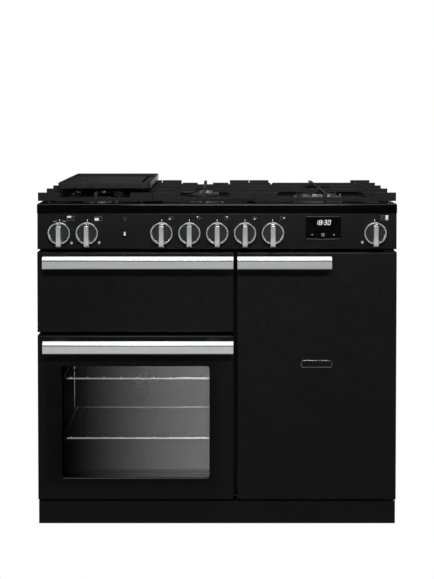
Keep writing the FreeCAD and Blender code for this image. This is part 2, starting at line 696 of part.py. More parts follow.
# ================================================================ hob
HOB_WELL_X = HOB_WIDTH / 2 - HOB_RIM_WIDTH
HOB_WELL_FLOOR = RIM_TOP - HOB_WELL_DEPTH
BURNER_NECK = 0.62
NECK_DROP = 14.0
NECK_CLEARANCE = 0.4


def hob_top():
    """The pressed hob: rolled rim, sunken well, hollow underside and a hole for each burner neck."""
    half = HOB_WIDTH / 2
    y = (HOB_FRONT_Y, HOB_BACK_Y)
    outer = rounded_tray_block((-half, half), y, (HOB_SKIRT_BOTTOM, RIM_TOP), 6.0)
    outer = soften_top(outer, RIM_TOP, HOB_EDGE_RADIUS)
    t = SHEET
    under = box(
        (-half + t, half - t), (y[0] + t, y[1] - t), (HOB_SKIRT_BOTTOM - 1, RIM_TOP - t)
    )
    well_x = (-HOB_WELL_X, HOB_WELL_X)
    well_y = (y[0] + HOB_RIM_WIDTH, y[1] - HOB_RIM_WIDTH)
    well = rounded_tray_block(well_x, well_y, (HOB_WELL_FLOOR, RIM_TOP + 1), 14.0)
    tray_x = (well_x[0] - t, well_x[1] + t)
    tray_y = (well_y[0] - t, well_y[1] + t)
    tray = rounded_tray_block(tray_x, tray_y, (HOB_WELL_FLOOR - t, RIM_TOP - t / 2), 16.0)
    hob = outer.cut(under).fuse(tray).cut(well)
    holes = [
        rod((x, by, HOB_WELL_FLOOR - 2 * t), Z_AXIS, r * BURNER_NECK + NECK_CLEARANCE, 4 * t)
        for _, x, by, r in BURNERS
    ]
    return hob.cut(Part.makeCompound(holes)).removeSplitter()


def turned(points, x, y):
    """A solid turned about a vertical axis at x, y, from (radius, height) points."""
    outline = [(x + r, y, z) for r, z in points]
    face = Part.Face(Part.makePolygon([V(*p) for p in outline + outline[:1]]))
    return face.revolve(V(x, y, 0), Z_AXIS, 360)


PORT_WIDTH = 3.0
PORTS = 16
WOK_INNER_RADIUS = 26.0
WOK_RING_INNER = 50.0
CROWN_TOP = RIM_TOP + BURNER_HEIGHT - CAP_THICKNESS - HOB_WELL_DEPTH


def flame_ports(x, y, radius):
    """The radial slots round a burner crown."""
    slots = []
    for i in range(PORTS):
        slot = box((radius - 6, radius + 1), (-PORT_WIDTH / 2, PORT_WIDTH / 2), (CROWN_TOP - 4, CROWN_TOP + 1))
        slot.rotate(V(0, 0, 0), Z_AXIS, 360 * (i + 0.5) / PORTS)
        slots.append(slot.translated(V(x, y, 0)))
    return Part.makeCompound(slots)


def burner_base(x, y, radius):
    """A cast burner: neck through the hob, spreading foot and a crown with flame ports."""
    floor = HOB_WELL_FLOOR
    crown = radius * 0.86
    neck = radius * BURNER_NECK
    points = [
        (0, floor - NECK_DROP),
        (neck, floor - NECK_DROP),
        (neck, floor),
        (radius, floor),
        (radius, floor + 2.5),
        (crown + 1, floor + 6),
        (crown, CROWN_TOP),
        (0, CROWN_TOP),
    ]
    base = turned(points, x, y)
    return base.cut(flame_ports(x, y, crown))


def wok_channel(x, y):
    """The ring-shaped gap between the wok burner's outer ring and its centre."""
    floor = HOB_WELL_FLOOR
    points = [
        (WOK_INNER_RADIUS, floor + 3),
        (WOK_RING_INNER, floor + 3),
        (WOK_RING_INNER, CROWN_TOP + 1),
        (WOK_INNER_RADIUS, CROWN_TOP + 1),
    ]
    return turned(points, x, y)


def burner_bases():
    """All five burners, with an ignition pin beside each."""
    solids = []
    for name, x, y, radius in BURNERS:
        base = burner_base(x, y, radius)
        if name == "right_wok":
            base = base.cut(wok_channel(x, y))
        solids.append(base)
        pin_x = x + radius + IGNITER_RADIUS + SEAT_GAP
        solids.append(rod((pin_x, y, HOB_WELL_FLOOR), Z_AXIS, IGNITER_RADIUS, IGNITER_HEIGHT))
    return grouped(solids)


IGNITER_RADIUS = 3.0
IGNITER_HEIGHT = 11.0


def cap(x, y, inner, outer):
    """An enamelled burner cap with a sloped edge, ring-shaped when inner is not zero."""
    z = CROWN_TOP
    top = z + CAP_THICKNESS
    points = [(inner, z), (outer, z), (outer, z + 1.5), (outer - 3.5, top), (inner, top)]
    return turned(points, x, y)


def burner_caps():
    """The loose caps on the crowns: one disc each, and ring and disc on the wok burner."""
    caps = []
    for name, x, y, radius in BURNERS:
        crown = radius * 0.86 + 1.5
        if name == "right_wok":
            caps.append(cap(x, y, WOK_RING_INNER - 1, crown))
            caps.append(cap(x, y, 0, WOK_INNER_RADIUS + 1))
        else:
            caps.append(cap(x, y, 0, crown))
    return grouped(caps)


VENT_TRIM_TOP = 914.0
TRIM_SLOT_WIDTH = 84.0
TRIM_SLOT_PITCH = 104.0
TRIM_MARGIN = 20.0
TRIM_SLOTS = int((HOB_WIDTH - 2 * TRIM_MARGIN - TRIM_SLOT_WIDTH) / TRIM_SLOT_PITCH) + 1


def rear_vent_trim():
    """The flue trim behind the hob, with a row of outlet slots in its top."""
    y = (HOB_BACK_Y + 0.5, BACK_Y)
    x = (-HOB_WIDTH / 2, HOB_WIDTH / 2)
    outer = rounded_tray_block(x, y, (FASCIA_TOP, VENT_TRIM_TOP), 5.0)
    outer = soften_top(outer, VENT_TRIM_TOP, 3.0)
    t = SHEET
    inner = box((x[0] + t, x[1] - t), (y[0] + t, y[1] - t), (FASCIA_TOP - 1, VENT_TRIM_TOP - t))
    middle = (y[0] + y[1]) / 2
    slots = []
    for i in range(TRIM_SLOTS):
        centre = (i - (TRIM_SLOTS - 1) / 2) * TRIM_SLOT_PITCH
        sx = (centre - TRIM_SLOT_WIDTH / 2, centre + TRIM_SLOT_WIDTH / 2)
        slots.append(rounded_tray_block(sx, (middle - 8, middle + 8), (VENT_TRIM_TOP - 5, VENT_TRIM_TOP + 1), 7.5))
    return outer.cut(inner).cut(Part.makeCompound(slots))


# ================================================================ pan supports and griddle
def arched_finger(start, end, z_low, z_top, along_x, fixed):
    """A pan-support finger: a thin bar that arches up from its root to a level top near the burner."""
    rise = 10.0
    direction = 1 if end > start else -1
    points = [
        (start, z_low),
        (start, z_low + FINGER_HEIGHT),
        (start + direction * rise, z_top),
        (end, z_top),
        (end, z_top - 7),
        (end - direction * 3, z_top - FINGER_HEIGHT),
        (start + direction * (rise + 4), z_top - FINGER_HEIGHT),
        (start + direction * 7, z_low),
    ]
    half = RIB_WIDTH / 2
    if along_x:
        return prism([(p, fixed - half, z) for p, z in points], V(0, RIB_WIDTH, 0))
    return prism([(fixed - half, p, z) for p, z in points], V(RIB_WIDTH, 0, 0))


def support_foot(x, y):
    """A foot under the frame that stands on the hob's well."""
    return rod((x, y, HOB_WELL_FLOOR), Z_AXIS, FOOT_RADIUS, SUPPORT_BAR_BOTTOM - HOB_WELL_FLOOR + 2)


def pan_support(x0, x1, burner_ys):
    """A cast-iron pan support: low frame, five pairs of raised blocks and fingers over the burners."""
    w = SUPPORT_BAR_WIDTH / 2
    low, high = SUPPORT_BAR_BOTTOM, SUPPORT_BAR_TOP
    y_front = SUPPORT_FRONT_Y
    y_back = SUPPORT_FRONT_Y + SUPPORT_RIBS[-1]
    centre = (x0 + x1) / 2
    pieces = []
    for y in (y_front, y_back):
        pieces.append(box((x0, x1), (y - w, y + w), (low, high)))
    for edge in ((x0, x0 + 2 * w), (x1 - 2 * w, x1)):
        pieces.append(box(edge, (y_front, y_back), (low, high)))
    half = RIB_WIDTH / 2
    for offset in SUPPORT_RIBS:
        y = y_front + offset
        for outer, turn in ((x0, 1), (x1, -1)):
            inner = outer + turn * RIB_BLOCK_LENGTH
            xs = sorted((outer, inner))
            pieces.append(box(xs, (y - half, y + half), (low, SUPPORT_TOP)))
            if offset not in (SUPPORT_RIBS[0], SUPPORT_RIBS[-1]):
                tip = centre - turn * finger_clear(y, burner_ys)
                root = inner - turn * 2
                pieces.append(arched_finger(root, tip, high - 8, SUPPORT_TOP, True, y))
    for y, turn in ((y_front, 1), (y_back, -1)):
        near = min(burner_ys, key=lambda b: abs(b - y))
        tip = near - turn * finger_clear(near, burner_ys)
        pieces.append(arched_finger(y, tip, low, SUPPORT_TOP, False, centre))
    if len(burner_ys) > 1:
        pieces.append(middle_cross(centre, burner_ys))
    for x in (x0 + FOOT_INSET, x1 - FOOT_INSET):
        for y in (y_front, y_front + SUPPORT_RIBS[3]):
            pieces.append(support_foot(x, y))
    pieces.append(support_foot(centre, y_front))
    solid = fused(pieces)
    return solid


FINGER_CLEAR = 24.0
WOK_CLEAR = 40.0


def finger_clear(y, burner_ys):
    """How far from the burner's centre a finger stops: nothing where no burner lies under it."""
    over_burner = any(abs(y - b) < 20 for b in burner_ys)
    if not over_burner:
        return -6.0
    return FINGER_CLEAR if len(burner_ys) > 1 else WOK_CLEAR


def middle_cross(centre, burner_ys):
    """The front-to-back bar between two burners."""
    y = (burner_ys[0] + FINGER_CLEAR, burner_ys[1] - FINGER_CLEAR)
    half = RIB_WIDTH / 2
    return box((centre - half, centre + half), y, (SUPPORT_TOP - FINGER_HEIGHT, SUPPORT_TOP))


def griddle():
    """The cast griddle plate: rimmed cooking face, deeper drain at its right, and two feet rails."""
    x = (GRIDDLE_LEFT, GRIDDLE_RIGHT)
    y = (GRIDDLE_FRONT_Y, GRIDDLE_BACK_Y)
    plate = rounded_tray_block(x, y, (GRIDDLE_SKIRT_BOTTOM, GRIDDLE_TOP), 9.0)
    plate = soften_top(plate, GRIDDLE_TOP, 2.5)
    rim = GRIDDLE_RIM
    drain_x = x[1] - rim - GRIDDLE_DRAIN_WIDTH
    face = rounded_tray_block(
        (x[0] + rim, drain_x + 8),
        (y[0] + rim, y[1] - rim),
        (GRIDDLE_TOP - GRIDDLE_WELL, GRIDDLE_TOP + 1),
        5.0,
    )
    drain = rounded_tray_block(
        (drain_x, x[1] - rim),
        (y[0] + rim, y[1] - rim),
        (GRIDDLE_TOP - GRIDDLE_WELL - 3, GRIDDLE_TOP + 1),
        5.0,
    )
    plate = plate.cut(face).cut(drain)
    rails = []
    for y_rail in (y[0] + 24, y[1] - 30):
        rails.append(
            box((x[0] + 24, x[1] - 24), (y_rail, y_rail + 6), (SUPPORT_TOP, GRIDDLE_SKIRT_BOTTOM + 1))
        )
    for x_rail in (x[0] + 24, x[1] - 30):
        rails.append(
            box((x_rail, x_rail + 6), (y[0] + 24, y[1] - 24), (SUPPORT_TOP, GRIDDLE_SKIRT_BOTTOM + 1))
        )
    return fused([plate] + rails)


# ================================================================ oven cavities
LINER_FRONT_Y = FRAME_Y + SHEET
LINER_BACK_Y = LINER_FRONT_Y + OVEN_DEPTH
BAFFLE_Y = LINER_BACK_Y - BAFFLE_OFFSET
SHAFT_RADIUS = 4.0
MAIN_CENTRE_X = (OVEN_LEFT + OVEN_RIGHT) / 2
TALL_CENTRE_X = (TALL_LEFT + TALL_RIGHT) / 2
FANS = {
    "main_oven_fan": (MAIN_CENTRE_X, FAN_HEIGHT_MAIN),
    "tall_oven_fan": (TALL_CENTRE_X, FAN_HEIGHT_TALL),
}


def liner(x, z, depth, shaft_at):
    """An enamelled cavity: a pressed box open at the front, with a hole for the fan shaft."""
    t = SHEET
    y = (LINER_FRONT_Y, LINER_FRONT_Y + depth)
    outer = rounded_slab((x[0] - t, x[1] + t), (z[0] - t, z[1] + t), (y[0], y[1] + t), 12.0)
    inner = rounded_slab(x, z, (y[0] - 1, y[1]), 10.0)
    shell = outer.cut(inner)
    if shaft_at:
        hole = rod((shaft_at[0], y[1] - 1, shaft_at[1]), Y_AXIS, SHAFT_RADIUS + 2, t + 2)
        shell = shell.cut(hole)
    return shell


BAFFLE_SLOTS = 12
BAFFLE_INLET = 46.0


def fan_baffle(x, z, centre):
    """The rear air baffle: a flanged plate with a radial inlet grille and side outlet slots."""
    t = 1.5
    margin = 30.0
    back = LINER_BACK_Y
    xs = (x[0] + margin, x[1] - margin)
    zs = (z[0] + 18, z[1] - 40)
    outer = rounded_slab(xs, zs, (BAFFLE_Y, back), 14.0)
    outer = soften_front(outer, BAFFLE_Y, 6.0)
    inner = rounded_slab((xs[0] + t, xs[1] - t), (zs[0] + t, zs[1] - t), (BAFFLE_Y + t, back + 1), 12.5)
    inner = soften_front(inner, BAFFLE_Y + t, 4.5)
    plate = outer.cut(inner)
    cuts = []
    for i in range(BAFFLE_SLOTS):
        slot = box((16, BAFFLE_INLET), (BAFFLE_Y - 1, BAFFLE_Y + t + 1), (-2.5, 2.5))
        slot.rotate(V(0, 0, 0), Y_AXIS, 360 * i / BAFFLE_SLOTS)
        cuts.append(slot.translated(V(centre[0], 0, centre[1])))
    for side in (-1, 1):
        for i in range(5):
            cz = (zs[0] + zs[1]) / 2 + (i - 2) * 34
            cx = MAIN_SLOT_REACH * side + (xs[0] + xs[1]) / 2
            cuts.append(box((cx - 3, cx + 3), (BAFFLE_Y - 1, BAFFLE_Y + t + 1), (cz - 12, cz + 12)))
    return plate.cut(Part.makeCompound(cuts))


MAIN_SLOT_REACH = 120.0
FAN_BLADES = 8
FAN_DEPTH = 14.0
FAN_FRONT_Y = BAFFLE_Y + 6.0


def fan(centre):
    """A convection impeller: a disc with curved-in blades on a hub and its shaft."""
    x, z = centre
    disc = rod((0, FAN_FRONT_Y + FAN_DEPTH, 0), Y_AXIS, FAN_RADIUS, 1.5)
    hub = rod((0, FAN_FRONT_Y, 0), Y_AXIS, 11.0, FAN_DEPTH + 1.5)
    shaft = rod((0, FAN_FRONT_Y + FAN_DEPTH, 0), Y_AXIS, SHAFT_RADIUS, MOTOR_FRONT_Y + 12 - FAN_FRONT_Y - FAN_DEPTH)
    pieces = [disc, hub, shaft]
    for i in range(FAN_BLADES):
        blade = box((30, FAN_RADIUS - 2), (FAN_FRONT_Y, FAN_FRONT_Y + FAN_DEPTH + 0.5), (-0.8, 0.8))
        blade.rotate(V(30, 0, 0), Y_AXIS, 25)
        blade.rotate(V(0, 0, 0), Y_AXIS, 360 * i / FAN_BLADES)
        pieces.append(blade)
    return fused(pieces).translated(V(x, 0, z))


MOTOR_FRONT_Y = LINER_BACK_Y + SHEET + 14.0
MOTOR_RADIUS = 32.0
MOTOR_LENGTH = 48.0


def fan_motor(centre):
    """A fan motor on a bridge bracket behind the cavity, with the bore its shaft runs in."""
    x, z = centre
    can = rod((x, MOTOR_FRONT_Y, z), Y_AXIS, MOTOR_RADIUS, MOTOR_LENGTH)
    can = can.makeFillet(5.0, [e for e in can.Edges if e.Closed and e.BoundBox.YMax > MOTOR_FRONT_Y + 1])
    bridge = box((x - 70, x + 70), (MOTOR_FRONT_Y - 3, MOTOR_FRONT_Y), (z - 14, z + 14))
    legs = []
    for side in (-1, 1):
        xs = sorted((x + side * 67, x + side * 70))
        legs.append(box(xs, (LINER_BACK_Y + SHEET, MOTOR_FRONT_Y), (z - 14, z + 14)))
    bore = rod((x, MOTOR_FRONT_Y - 4, z), Y_AXIS, SHAFT_RADIUS + PIN_CLEARANCE, 18.0)
    return fused([can, bridge] + legs).cut(bore)


RING_ELEMENT_RADIUS = 84.0
ELEMENT_TUBE = 3.5


def tube_along(wire, start, direction, radius):
    """A round tube swept along a wire."""
    profile = Part.Wire(Part.makeCircle(radius, V(*start), direction))
    return wire.makePipeShell([profile], True, True)


def ring_element(centre):
    """The ring element round a fan, with its two ends through the cavity's back wall."""
    x, z = centre
    y = FAN_FRONT_Y + 8
    torus = Part.makeTorus(RING_ELEMENT_RADIUS, ELEMENT_TUBE, V(x, y, z), Y_AXIS)
    ends = [
        rod((x + side * 12, y, z + RING_ELEMENT_RADIUS), Y_AXIS, ELEMENT_TUBE, LINER_BACK_Y - y)
        for side in (-1, 1)
    ]
    return torus.multiFuse(ends)


GRILL_ELEMENT_Z = GRILL_CEILING - 22.0
ELEMENT_PITCH = 38.0
ELEMENT_RUNS = 8


def grill_element():
    """The grill's serpentine element under the chamber's ceiling, with its four hangers."""
    y_front = LINER_FRONT_Y + 40
    y_back = LINER_FRONT_Y + GRILL_DEPTH - 80
    span = (ELEMENT_RUNS - 1) * ELEMENT_PITCH
    start_x = MAIN_CENTRE_X - span / 2
    points = [(start_x, LINER_FRONT_Y + GRILL_DEPTH, GRILL_ELEMENT_Z)]
    for i in range(ELEMENT_RUNS):
        x = start_x + i * ELEMENT_PITCH
        order = (y_back, y_front) if i % 2 == 0 else (y_front, y_back)
        if i:
            points.append((x, order[0], GRILL_ELEMENT_Z))
        points.append((x, order[1], GRILL_ELEMENT_Z))
    points[-1] = (start_x + span, LINER_FRONT_Y + GRILL_DEPTH, GRILL_ELEMENT_Z)
    wire = pipe_path(points, ELEMENT_PITCH / 2 - 2)
    tube = tube_along(wire, points[0], Y_AXIS, ELEMENT_TUBE)
    hangers = []
    for x in (start_x, start_x + span):
        for y in (y_front + 50, y_back - 30):
            hangers.append(
                box((x - 5, x + 5), (y, y + 2), (GRILL_ELEMENT_Z - ELEMENT_TUBE - 1, GRILL_CEILING))
            )
    return fused([tube] + hangers)


GRILL_DEPTH = 380.0


def heating_elements():
    """The two ring elements behind the baffles and the grill's serpentine."""
    return grouped([ring_element(c) for c in FANS.values()] + [grill_element()])


def wire_shelf(x, z):
    """A wire shelf: front and rear bars and the run of wires between them, on the ladder rungs."""
    y0 = SHELF_FRONT_Y
    y1 = y0 + SHELF_DEPTH
    left, right = x[0] + LADDER_REACH, x[1] - LADDER_REACH
    r = WIRE_RADIUS
    pieces = [rod((left, y, z), X_AXIS, r, right - left) for y in (y0, y1)]
    count = int((right - left) // SHELF_PITCH)
    first = (left + right) / 2 - (count - 1) / 2 * SHELF_PITCH
    for i in range(count):
        pieces.append(rod((first + i * SHELF_PITCH, y0 - r, z + r), Y_AXIS, WIRE_RADIUS * 0.7, y1 - y0 + 2 * r))
    for edge in (left, right):
        pieces.append(rod((edge, y0, z), Y_AXIS, r, y1 - y0))
    for edge in (left, right):
        for y in (y0, y1):
            pieces.append(Part.makeSphere(r, V(edge, y, z)))
    return pieces[0].multiFuse(pieces[1:])


LADDER_REACH = 8.0
LADDER_WIRE = 2.5


def shelf_ladder(wall_x, turn, z, shelf_zs):
    """A wire ladder on a cavity wall: two uprights and a rung under every shelf."""
    x = wall_x + turn * LADDER_WIRE
    y0 = SHELF_FRONT_Y + 20
    y1 = y0 + SHELF_DEPTH - 30
    pieces = [rod((x, y, z[0] + 30), Z_AXIS, LADDER_WIRE, z[1] - z[0] - 70) for y in (y0, y1)]
    for shelf_z in shelf_zs:
        rung_x = wall_x + turn * (LADDER_REACH - 0.5)
        rung_z = shelf_z - WIRE_RADIUS - LADDER_WIRE
        pieces.append(rod((rung_x, y0 - 12, rung_z), Y_AXIS, LADDER_WIRE, y1 - y0 + 24))
        for y in (y0, y1):
            pieces.append(rod((wall_x, y, rung_z), X_AXIS * turn, LADDER_WIRE * 0.8, LADDER_REACH - 1))
    return pieces[0].multiFuse(pieces[1:])


def lamp(wall_x):
    """The oven lamp on the cavity's side wall: a bezel with a domed glass."""
    y = LINER_FRONT_Y + LAMP_OFFSET
    z = MAIN_CEILING - LAMP_DROP
    base = rod((wall_x, y, z), X_AXIS, LAMP_RADIUS + 4, 4.0)
    dome = Part.makeSphere(LAMP_RADIUS, V(wall_x - 8, y, z))
    reach = 2 * LAMP_RADIUS
    front = box((wall_x + 1, wall_x + reach), (y - reach, y + reach), (z - reach, z + reach))
    return base.fuse(dome.common(front))


LAMP_OFFSET = 340.0
LAMP_DROP = 60.0
LAMP_RADIUS = 24.0


# ================================================================ doors
def door_shell(x, z, hinge_cuts):
    """A pressed door panel: softened front, hollow back and a relief along the hinged edge."""
    y = (DOOR_Y, DOOR_BACK_Y - INNER_PANEL_DEPTH)
    outer = soften_front(box(x, y, z), DOOR_Y, DOOR_EDGE_RADIUS)
    t = SHEET
    inner = box((x[0] + t, x[1] - t), (y[0] + t, y[1] + 1), (z[0] + t, z[1] - t))
    shell = outer.cut(inner)
    return shell.cut(Part.makeCompound(hinge_cuts)) if hinge_cuts else shell


def handle(x0, x1, post_xs, z):
    """A bar handle with a bevelled top and bottom, on two posts that stand on the door."""
    y0 = DOOR_Y - HANDLE_PROUD
    y1 = y0 + HANDLE_DEPTH
    low, high = z - HANDLE_HEIGHT / 2, z + HANDLE_HEIGHT / 2
    outline = [
        (x0, y0, low + 3),
        (x0, y0 + 2, low),
        (x0, y1, low),
        (x0, y1, high),
        (x0, y0 + HANDLE_BEVEL * 0.8, high),
        (x0, y0, high - HANDLE_BEVEL),
    ]
    bar = prism(outline, V(x1 - x0, 0, 0))
    back_edges = [e for e in front_edges(bar, y1) if e.Length > HANDLE_HEIGHT]
    bar = bar.makeFillet(4.0, back_edges)
    pieces = [bar]
    for px in post_xs:
        post = rounded_slab(
            (px - POST_WIDTH / 2, px + POST_WIDTH / 2),
            (z - POST_HEIGHT / 2, z + POST_HEIGHT / 2),
            (y1 - 1, DOOR_Y),
            5.0,
        )
        pieces.append(post)
    return fused(pieces)


DOOR_LEFT = -HALF
MAIN_DOOR_X = (DOOR_LEFT, DOOR_SPLIT_LEFT)
MAIN_DOOR_Z = (DOOR_BOTTOM, OVEN_DOOR_TOP)
TALL_DOOR_X = (DOOR_SPLIT_RIGHT, HALF)
TALL_DOOR_Z = (DOOR_BOTTOM, DOOR_TOP)
GRILL_Z = (GRILL_BOTTOM, DOOR_TOP)
WINDOW = ((WINDOW_LEFT, WINDOW_RIGHT), (WINDOW_BOTTOM, WINDOW_TOP))


def hinge_slot(x):
    """The clearance in the drop-down door for one fixed hinge plate, over the whole swing."""
    half = BRACKET_THICKNESS / 2 + HINGE_SLOT_SIDE
    room = HINGE_BOSS + 1
    return box(
        (x - half, x + half),
        (MAIN_PIVOT_Y - room, DOOR_BACK_Y + 1),
        (DOOR_BOTTOM - 1, MAIN_PIVOT_Z + room),
    )


def main_hinge_relief():
    """The chamfer along the lower inner edge that keeps the swing clear of the frame."""
    c = HINGE_EDGE_CHAMFER + 1
    y, z = DOOR_BACK_Y, DOOR_BOTTOM
    x = DOOR_LEFT - 1
    width = DOOR_SPLIT_LEFT - DOOR_LEFT + 2
    return prism([(x, y + 1, z - 1), (x, y + 1, z + c), (x, y - c, z - 1)], V(width, 0, 0))


def main_oven_door():
    """The drop-down door's outer panel, with its window."""
    window = rounded_slab(*WINDOW, (DOOR_Y - 1, DOOR_Y + SHEET + 1), WINDOW_RADIUS)
    cuts = [window, main_hinge_relief()] + [hinge_slot(x) for x in MAIN_HINGE_X]
    return door_shell(MAIN_DOOR_X, MAIN_DOOR_Z, cuts)


def window_pane(y, lap):
    """One pane of door glass, larger than the window by its lap."""
    return rounded_slab(
        (WINDOW_LEFT - lap, WINDOW_RIGHT + lap),
        (WINDOW_BOTTOM - lap, WINDOW_TOP + lap),
        (y, y + GLASS_THICKNESS),
        WINDOW_RADIUS,
    )


def main_oven_glasses():
    """The outer pane behind the door's skin and the inner pane in the inner panel's rebate."""
    outer = window_pane(DOOR_Y + SHEET, GLASS_LAP)
    inner = window_pane(DOOR_BACK_Y - INNER_PANEL_DEPTH, GLASS_LAP - 4)
    return grouped([outer, inner])


def inner_panel(x, z, cuts):
    """A door's inner panel: a flat plate with a raised field that enters the opening."""
    y = (DOOR_BACK_Y - INNER_PANEL_DEPTH, DOOR_BACK_Y)
    plate = box(x, y, z)
    return plate.cut(Part.makeCompound(cuts))


def main_oven_door_inner():
    """The drop-down door's inner panel with its window, glass rebate and hinge slots."""
    through = rounded_slab(*WINDOW, (DOOR_BACK_Y - INNER_PANEL_DEPTH - 1, DOOR_BACK_Y + 1), WINDOW_RADIUS)
    rebate = window_pane(DOOR_BACK_Y - INNER_PANEL_DEPTH, GLASS_LAP - 4)
    cuts = [through, rebate, main_hinge_relief()] + [hinge_slot(x) for x in MAIN_HINGE_X]
    return inner_panel(MAIN_DOOR_X, MAIN_DOOR_Z, cuts)


def main_oven_hinge_arms():
    """Two hinge arms inside the door: a block on each side of the fixed plate and the pivot pin."""
    arms = []
    block = 12.0
    for x in MAIN_HINGE_X:
        half = BRACKET_THICKNESS / 2 + HINGE_SLOT_SIDE
        solids = []
        for side in (-1, 1):
            xs = sorted((x + side * half, x + side * (half + block)))
            y = (DOOR_Y + SHEET, DOOR_BACK_Y - INNER_PANEL_DEPTH)
            solids.append(box(xs, y, (MAIN_PIVOT_Z - 10, MAIN_PIVOT_Z + 60)))
        reach = half + block
        solids.append(rod((x - reach, MAIN_PIVOT_Y, MAIN_PIVOT_Z), X_AXIS, HINGE_PIN_RADIUS, 2 * reach))
        arms.append(fused(solids))
    return grouped(arms)


def tall_hinge_cuts():
    """The pin holes and the edge relief of the side-hinged door."""
    r = HINGE_PIN_RADIUS + PIN_CLEARANCE
    deep = TALL_PIN_LENGTH + 2
    holes = [
        rod((TALL_PIVOT_X, TALL_PIVOT_Y, DOOR_BOTTOM - 1), Z_AXIS, r, deep),
        rod((TALL_PIVOT_X, TALL_PIVOT_Y, DOOR_TOP - deep + 1), Z_AXIS, r, deep),
    ]
    c = HINGE_EDGE_CHAMFER + 1
    x, y = HALF, DOOR_BACK_Y
    height = DOOR_TOP - DOOR_BOTTOM + 2
    relief = prism(
        [(x + 1, y + 1, DOOR_BOTTOM - 1), (x - c, y + 1, DOOR_BOTTOM - 1), (x + 1, y - c, DOOR_BOTTOM - 1)],
        V(0, 0, height),
    )
    return holes + [relief]


HINGE_BLOCK = 26.0


def tall_oven_door():
    """The side-opening door's outer panel with solid hinge blocks at its right corners."""
    shell = door_shell(TALL_DOOR_X, TALL_DOOR_Z, [])
    y = (DOOR_Y + SHEET, DOOR_BACK_Y - INNER_PANEL_DEPTH)
    x = (HALF - 2 * HINGE_INSET, HALF - SHEET)
    blocks = [
        box(x, y, (DOOR_BOTTOM + SHEET, DOOR_BOTTOM + HINGE_BLOCK)),
        box(x, y, (DOOR_TOP - HINGE_BLOCK, DOOR_TOP - SHEET)),
    ]
    return fused([shell] + blocks).cut(Part.makeCompound(tall_hinge_cuts()))


def tall_oven_door_inner():
    """The side-opening door's inner panel."""
    return inner_panel(TALL_DOOR_X, TALL_DOOR_Z, tall_hinge_cuts())


SEAL_WIDTH = 8.0


def door_seal(x, z):
    """A ring seal round one opening, between the frame and the closed door."""
    y = (FRAME_Y - DOOR_SEAL_GAP + SEAT_GAP, FRAME_Y)
    m = 8.0
    outer = rounded_slab((x[0] - m, x[1] + m), (z[0] - m, z[1] + m), y, 14.0)
    n = m - SEAL_WIDTH + 1
    inner = rounded_slab((x[0] - n, x[1] + n), (z[0] - n, z[1] + n), (y[0] - 1, y[1] + 1), 9.0)
    return outer.cut(inner)


def door_seals():
    """The seals of both ovens."""
    return grouped(
        [
            door_seal((OVEN_LEFT, OVEN_RIGHT), (MAIN_FLOOR, MAIN_CEILING)),
            door_seal((TALL_LEFT, TALL_RIGHT), (TALL_FLOOR, TALL_CEILING)),
        ]
    )


# ================================================================ glide-out grill
RUNNER_Y = (LINER_FRONT_Y + 4.0, LINER_FRONT_Y + 4.0 + RUNNER_LENGTH)
CHAMBER = (OVEN_LEFT, OVEN_RIGHT)


def channel(wall_x, turn, height, reach, y):
    """A C-shaped runner member that opens into the chamber."""
    t = RUNNER_WALL
    z = (RUNNER_Z - height / 2, RUNNER_Z + height / 2)
    web = box(sorted((wall_x, wall_x + turn * t)), y, z)
    flanges = [
        box(sorted((wall_x, wall_x + turn * reach)), y, (z[0], z[0] + t)),
        box(sorted((wall_x, wall_x + turn * reach)), y, (z[1] - t, z[1])),
    ]
    return fused([web] + flanges)


def sides():
    """Each chamber wall with the direction into the chamber."""
    return ((CHAMBER[0], 1), (CHAMBER[1], -1))


MIDDLE_HEIGHT = RUNNER_HEIGHT - 2 * (RUNNER_WALL + RUNNER_GAP)
INNER_HEIGHT = MIDDLE_HEIGHT - 2 * (RUNNER_WALL + RUNNER_GAP)
CARRIAGE_PLATE = 2.0


def fixed_runners():
    """The outer runner members, fixed to the chamber's walls."""
    return grouped([channel(x, turn, RUNNER_HEIGHT, RUNNER_REACH, RUNNER_Y) for x, turn in sides()])


def middle_runners():
    """The middle runner members, inside the fixed ones."""
    step = RUNNER_WALL + RUNNER_GAP
    return grouped(
        [
            channel(x + turn * step, turn, MIDDLE_HEIGHT, RUNNER_REACH - step, RUNNER_Y)
            for x, turn in sides()
        ]
    )


PAN_SHELF = 16.0


def grill_carriage():
    """The frame behind the grill front: two side rails with runner bars and lips for the pan."""
    step = 2 * (RUNNER_WALL + RUNNER_GAP)
    pieces = []
    y = (DOOR_BACK_Y, RUNNER_Y[1] - 20)
    for wall, turn in sides():
        a = wall + turn * step
        b = wall + turn * (RUNNER_REACH + 2)
        bar = box(
            sorted((a, b)), (RUNNER_Y[0], RUNNER_Y[1] - 20), (RUNNER_Z - INNER_HEIGHT / 2, RUNNER_Z + INNER_HEIGHT / 2)
        )
        c = b + turn * CARRIAGE_PLATE
        plate = box(sorted((b, c)), y, (RUNNER_Z - 24, RUNNER_Z + 24))
        d = c + turn * PAN_SHELF
        shelf = box(sorted((b, d)), y, (RUNNER_Z + 22, RUNNER_Z + 24))
        pieces += [bar, plate, shelf]
    a = CHAMBER[0] + RUNNER_REACH + 2
    b = CHAMBER[1] - RUNNER_REACH - 2
    pieces.append(box((a, b), (y[1] - 2, y[1]), (RUNNER_Z - 24, RUNNER_Z - 8)))
    pieces.append(box((a, b), (DOOR_BACK_Y, DOOR_BACK_Y + 2), (RUNNER_Z - 24, RUNNER_Z + 24)))
    return fused(pieces)


PAN_X = (CHAMBER[0] + RUNNER_REACH + 6, CHAMBER[1] - RUNNER_REACH - 6)
PAN_Y = (DOOR_BACK_Y + 8, DOOR_BACK_Y + 8 + PAN_DEPTH)
PAN_TOP = RUNNER_Z + 24 + 2.0


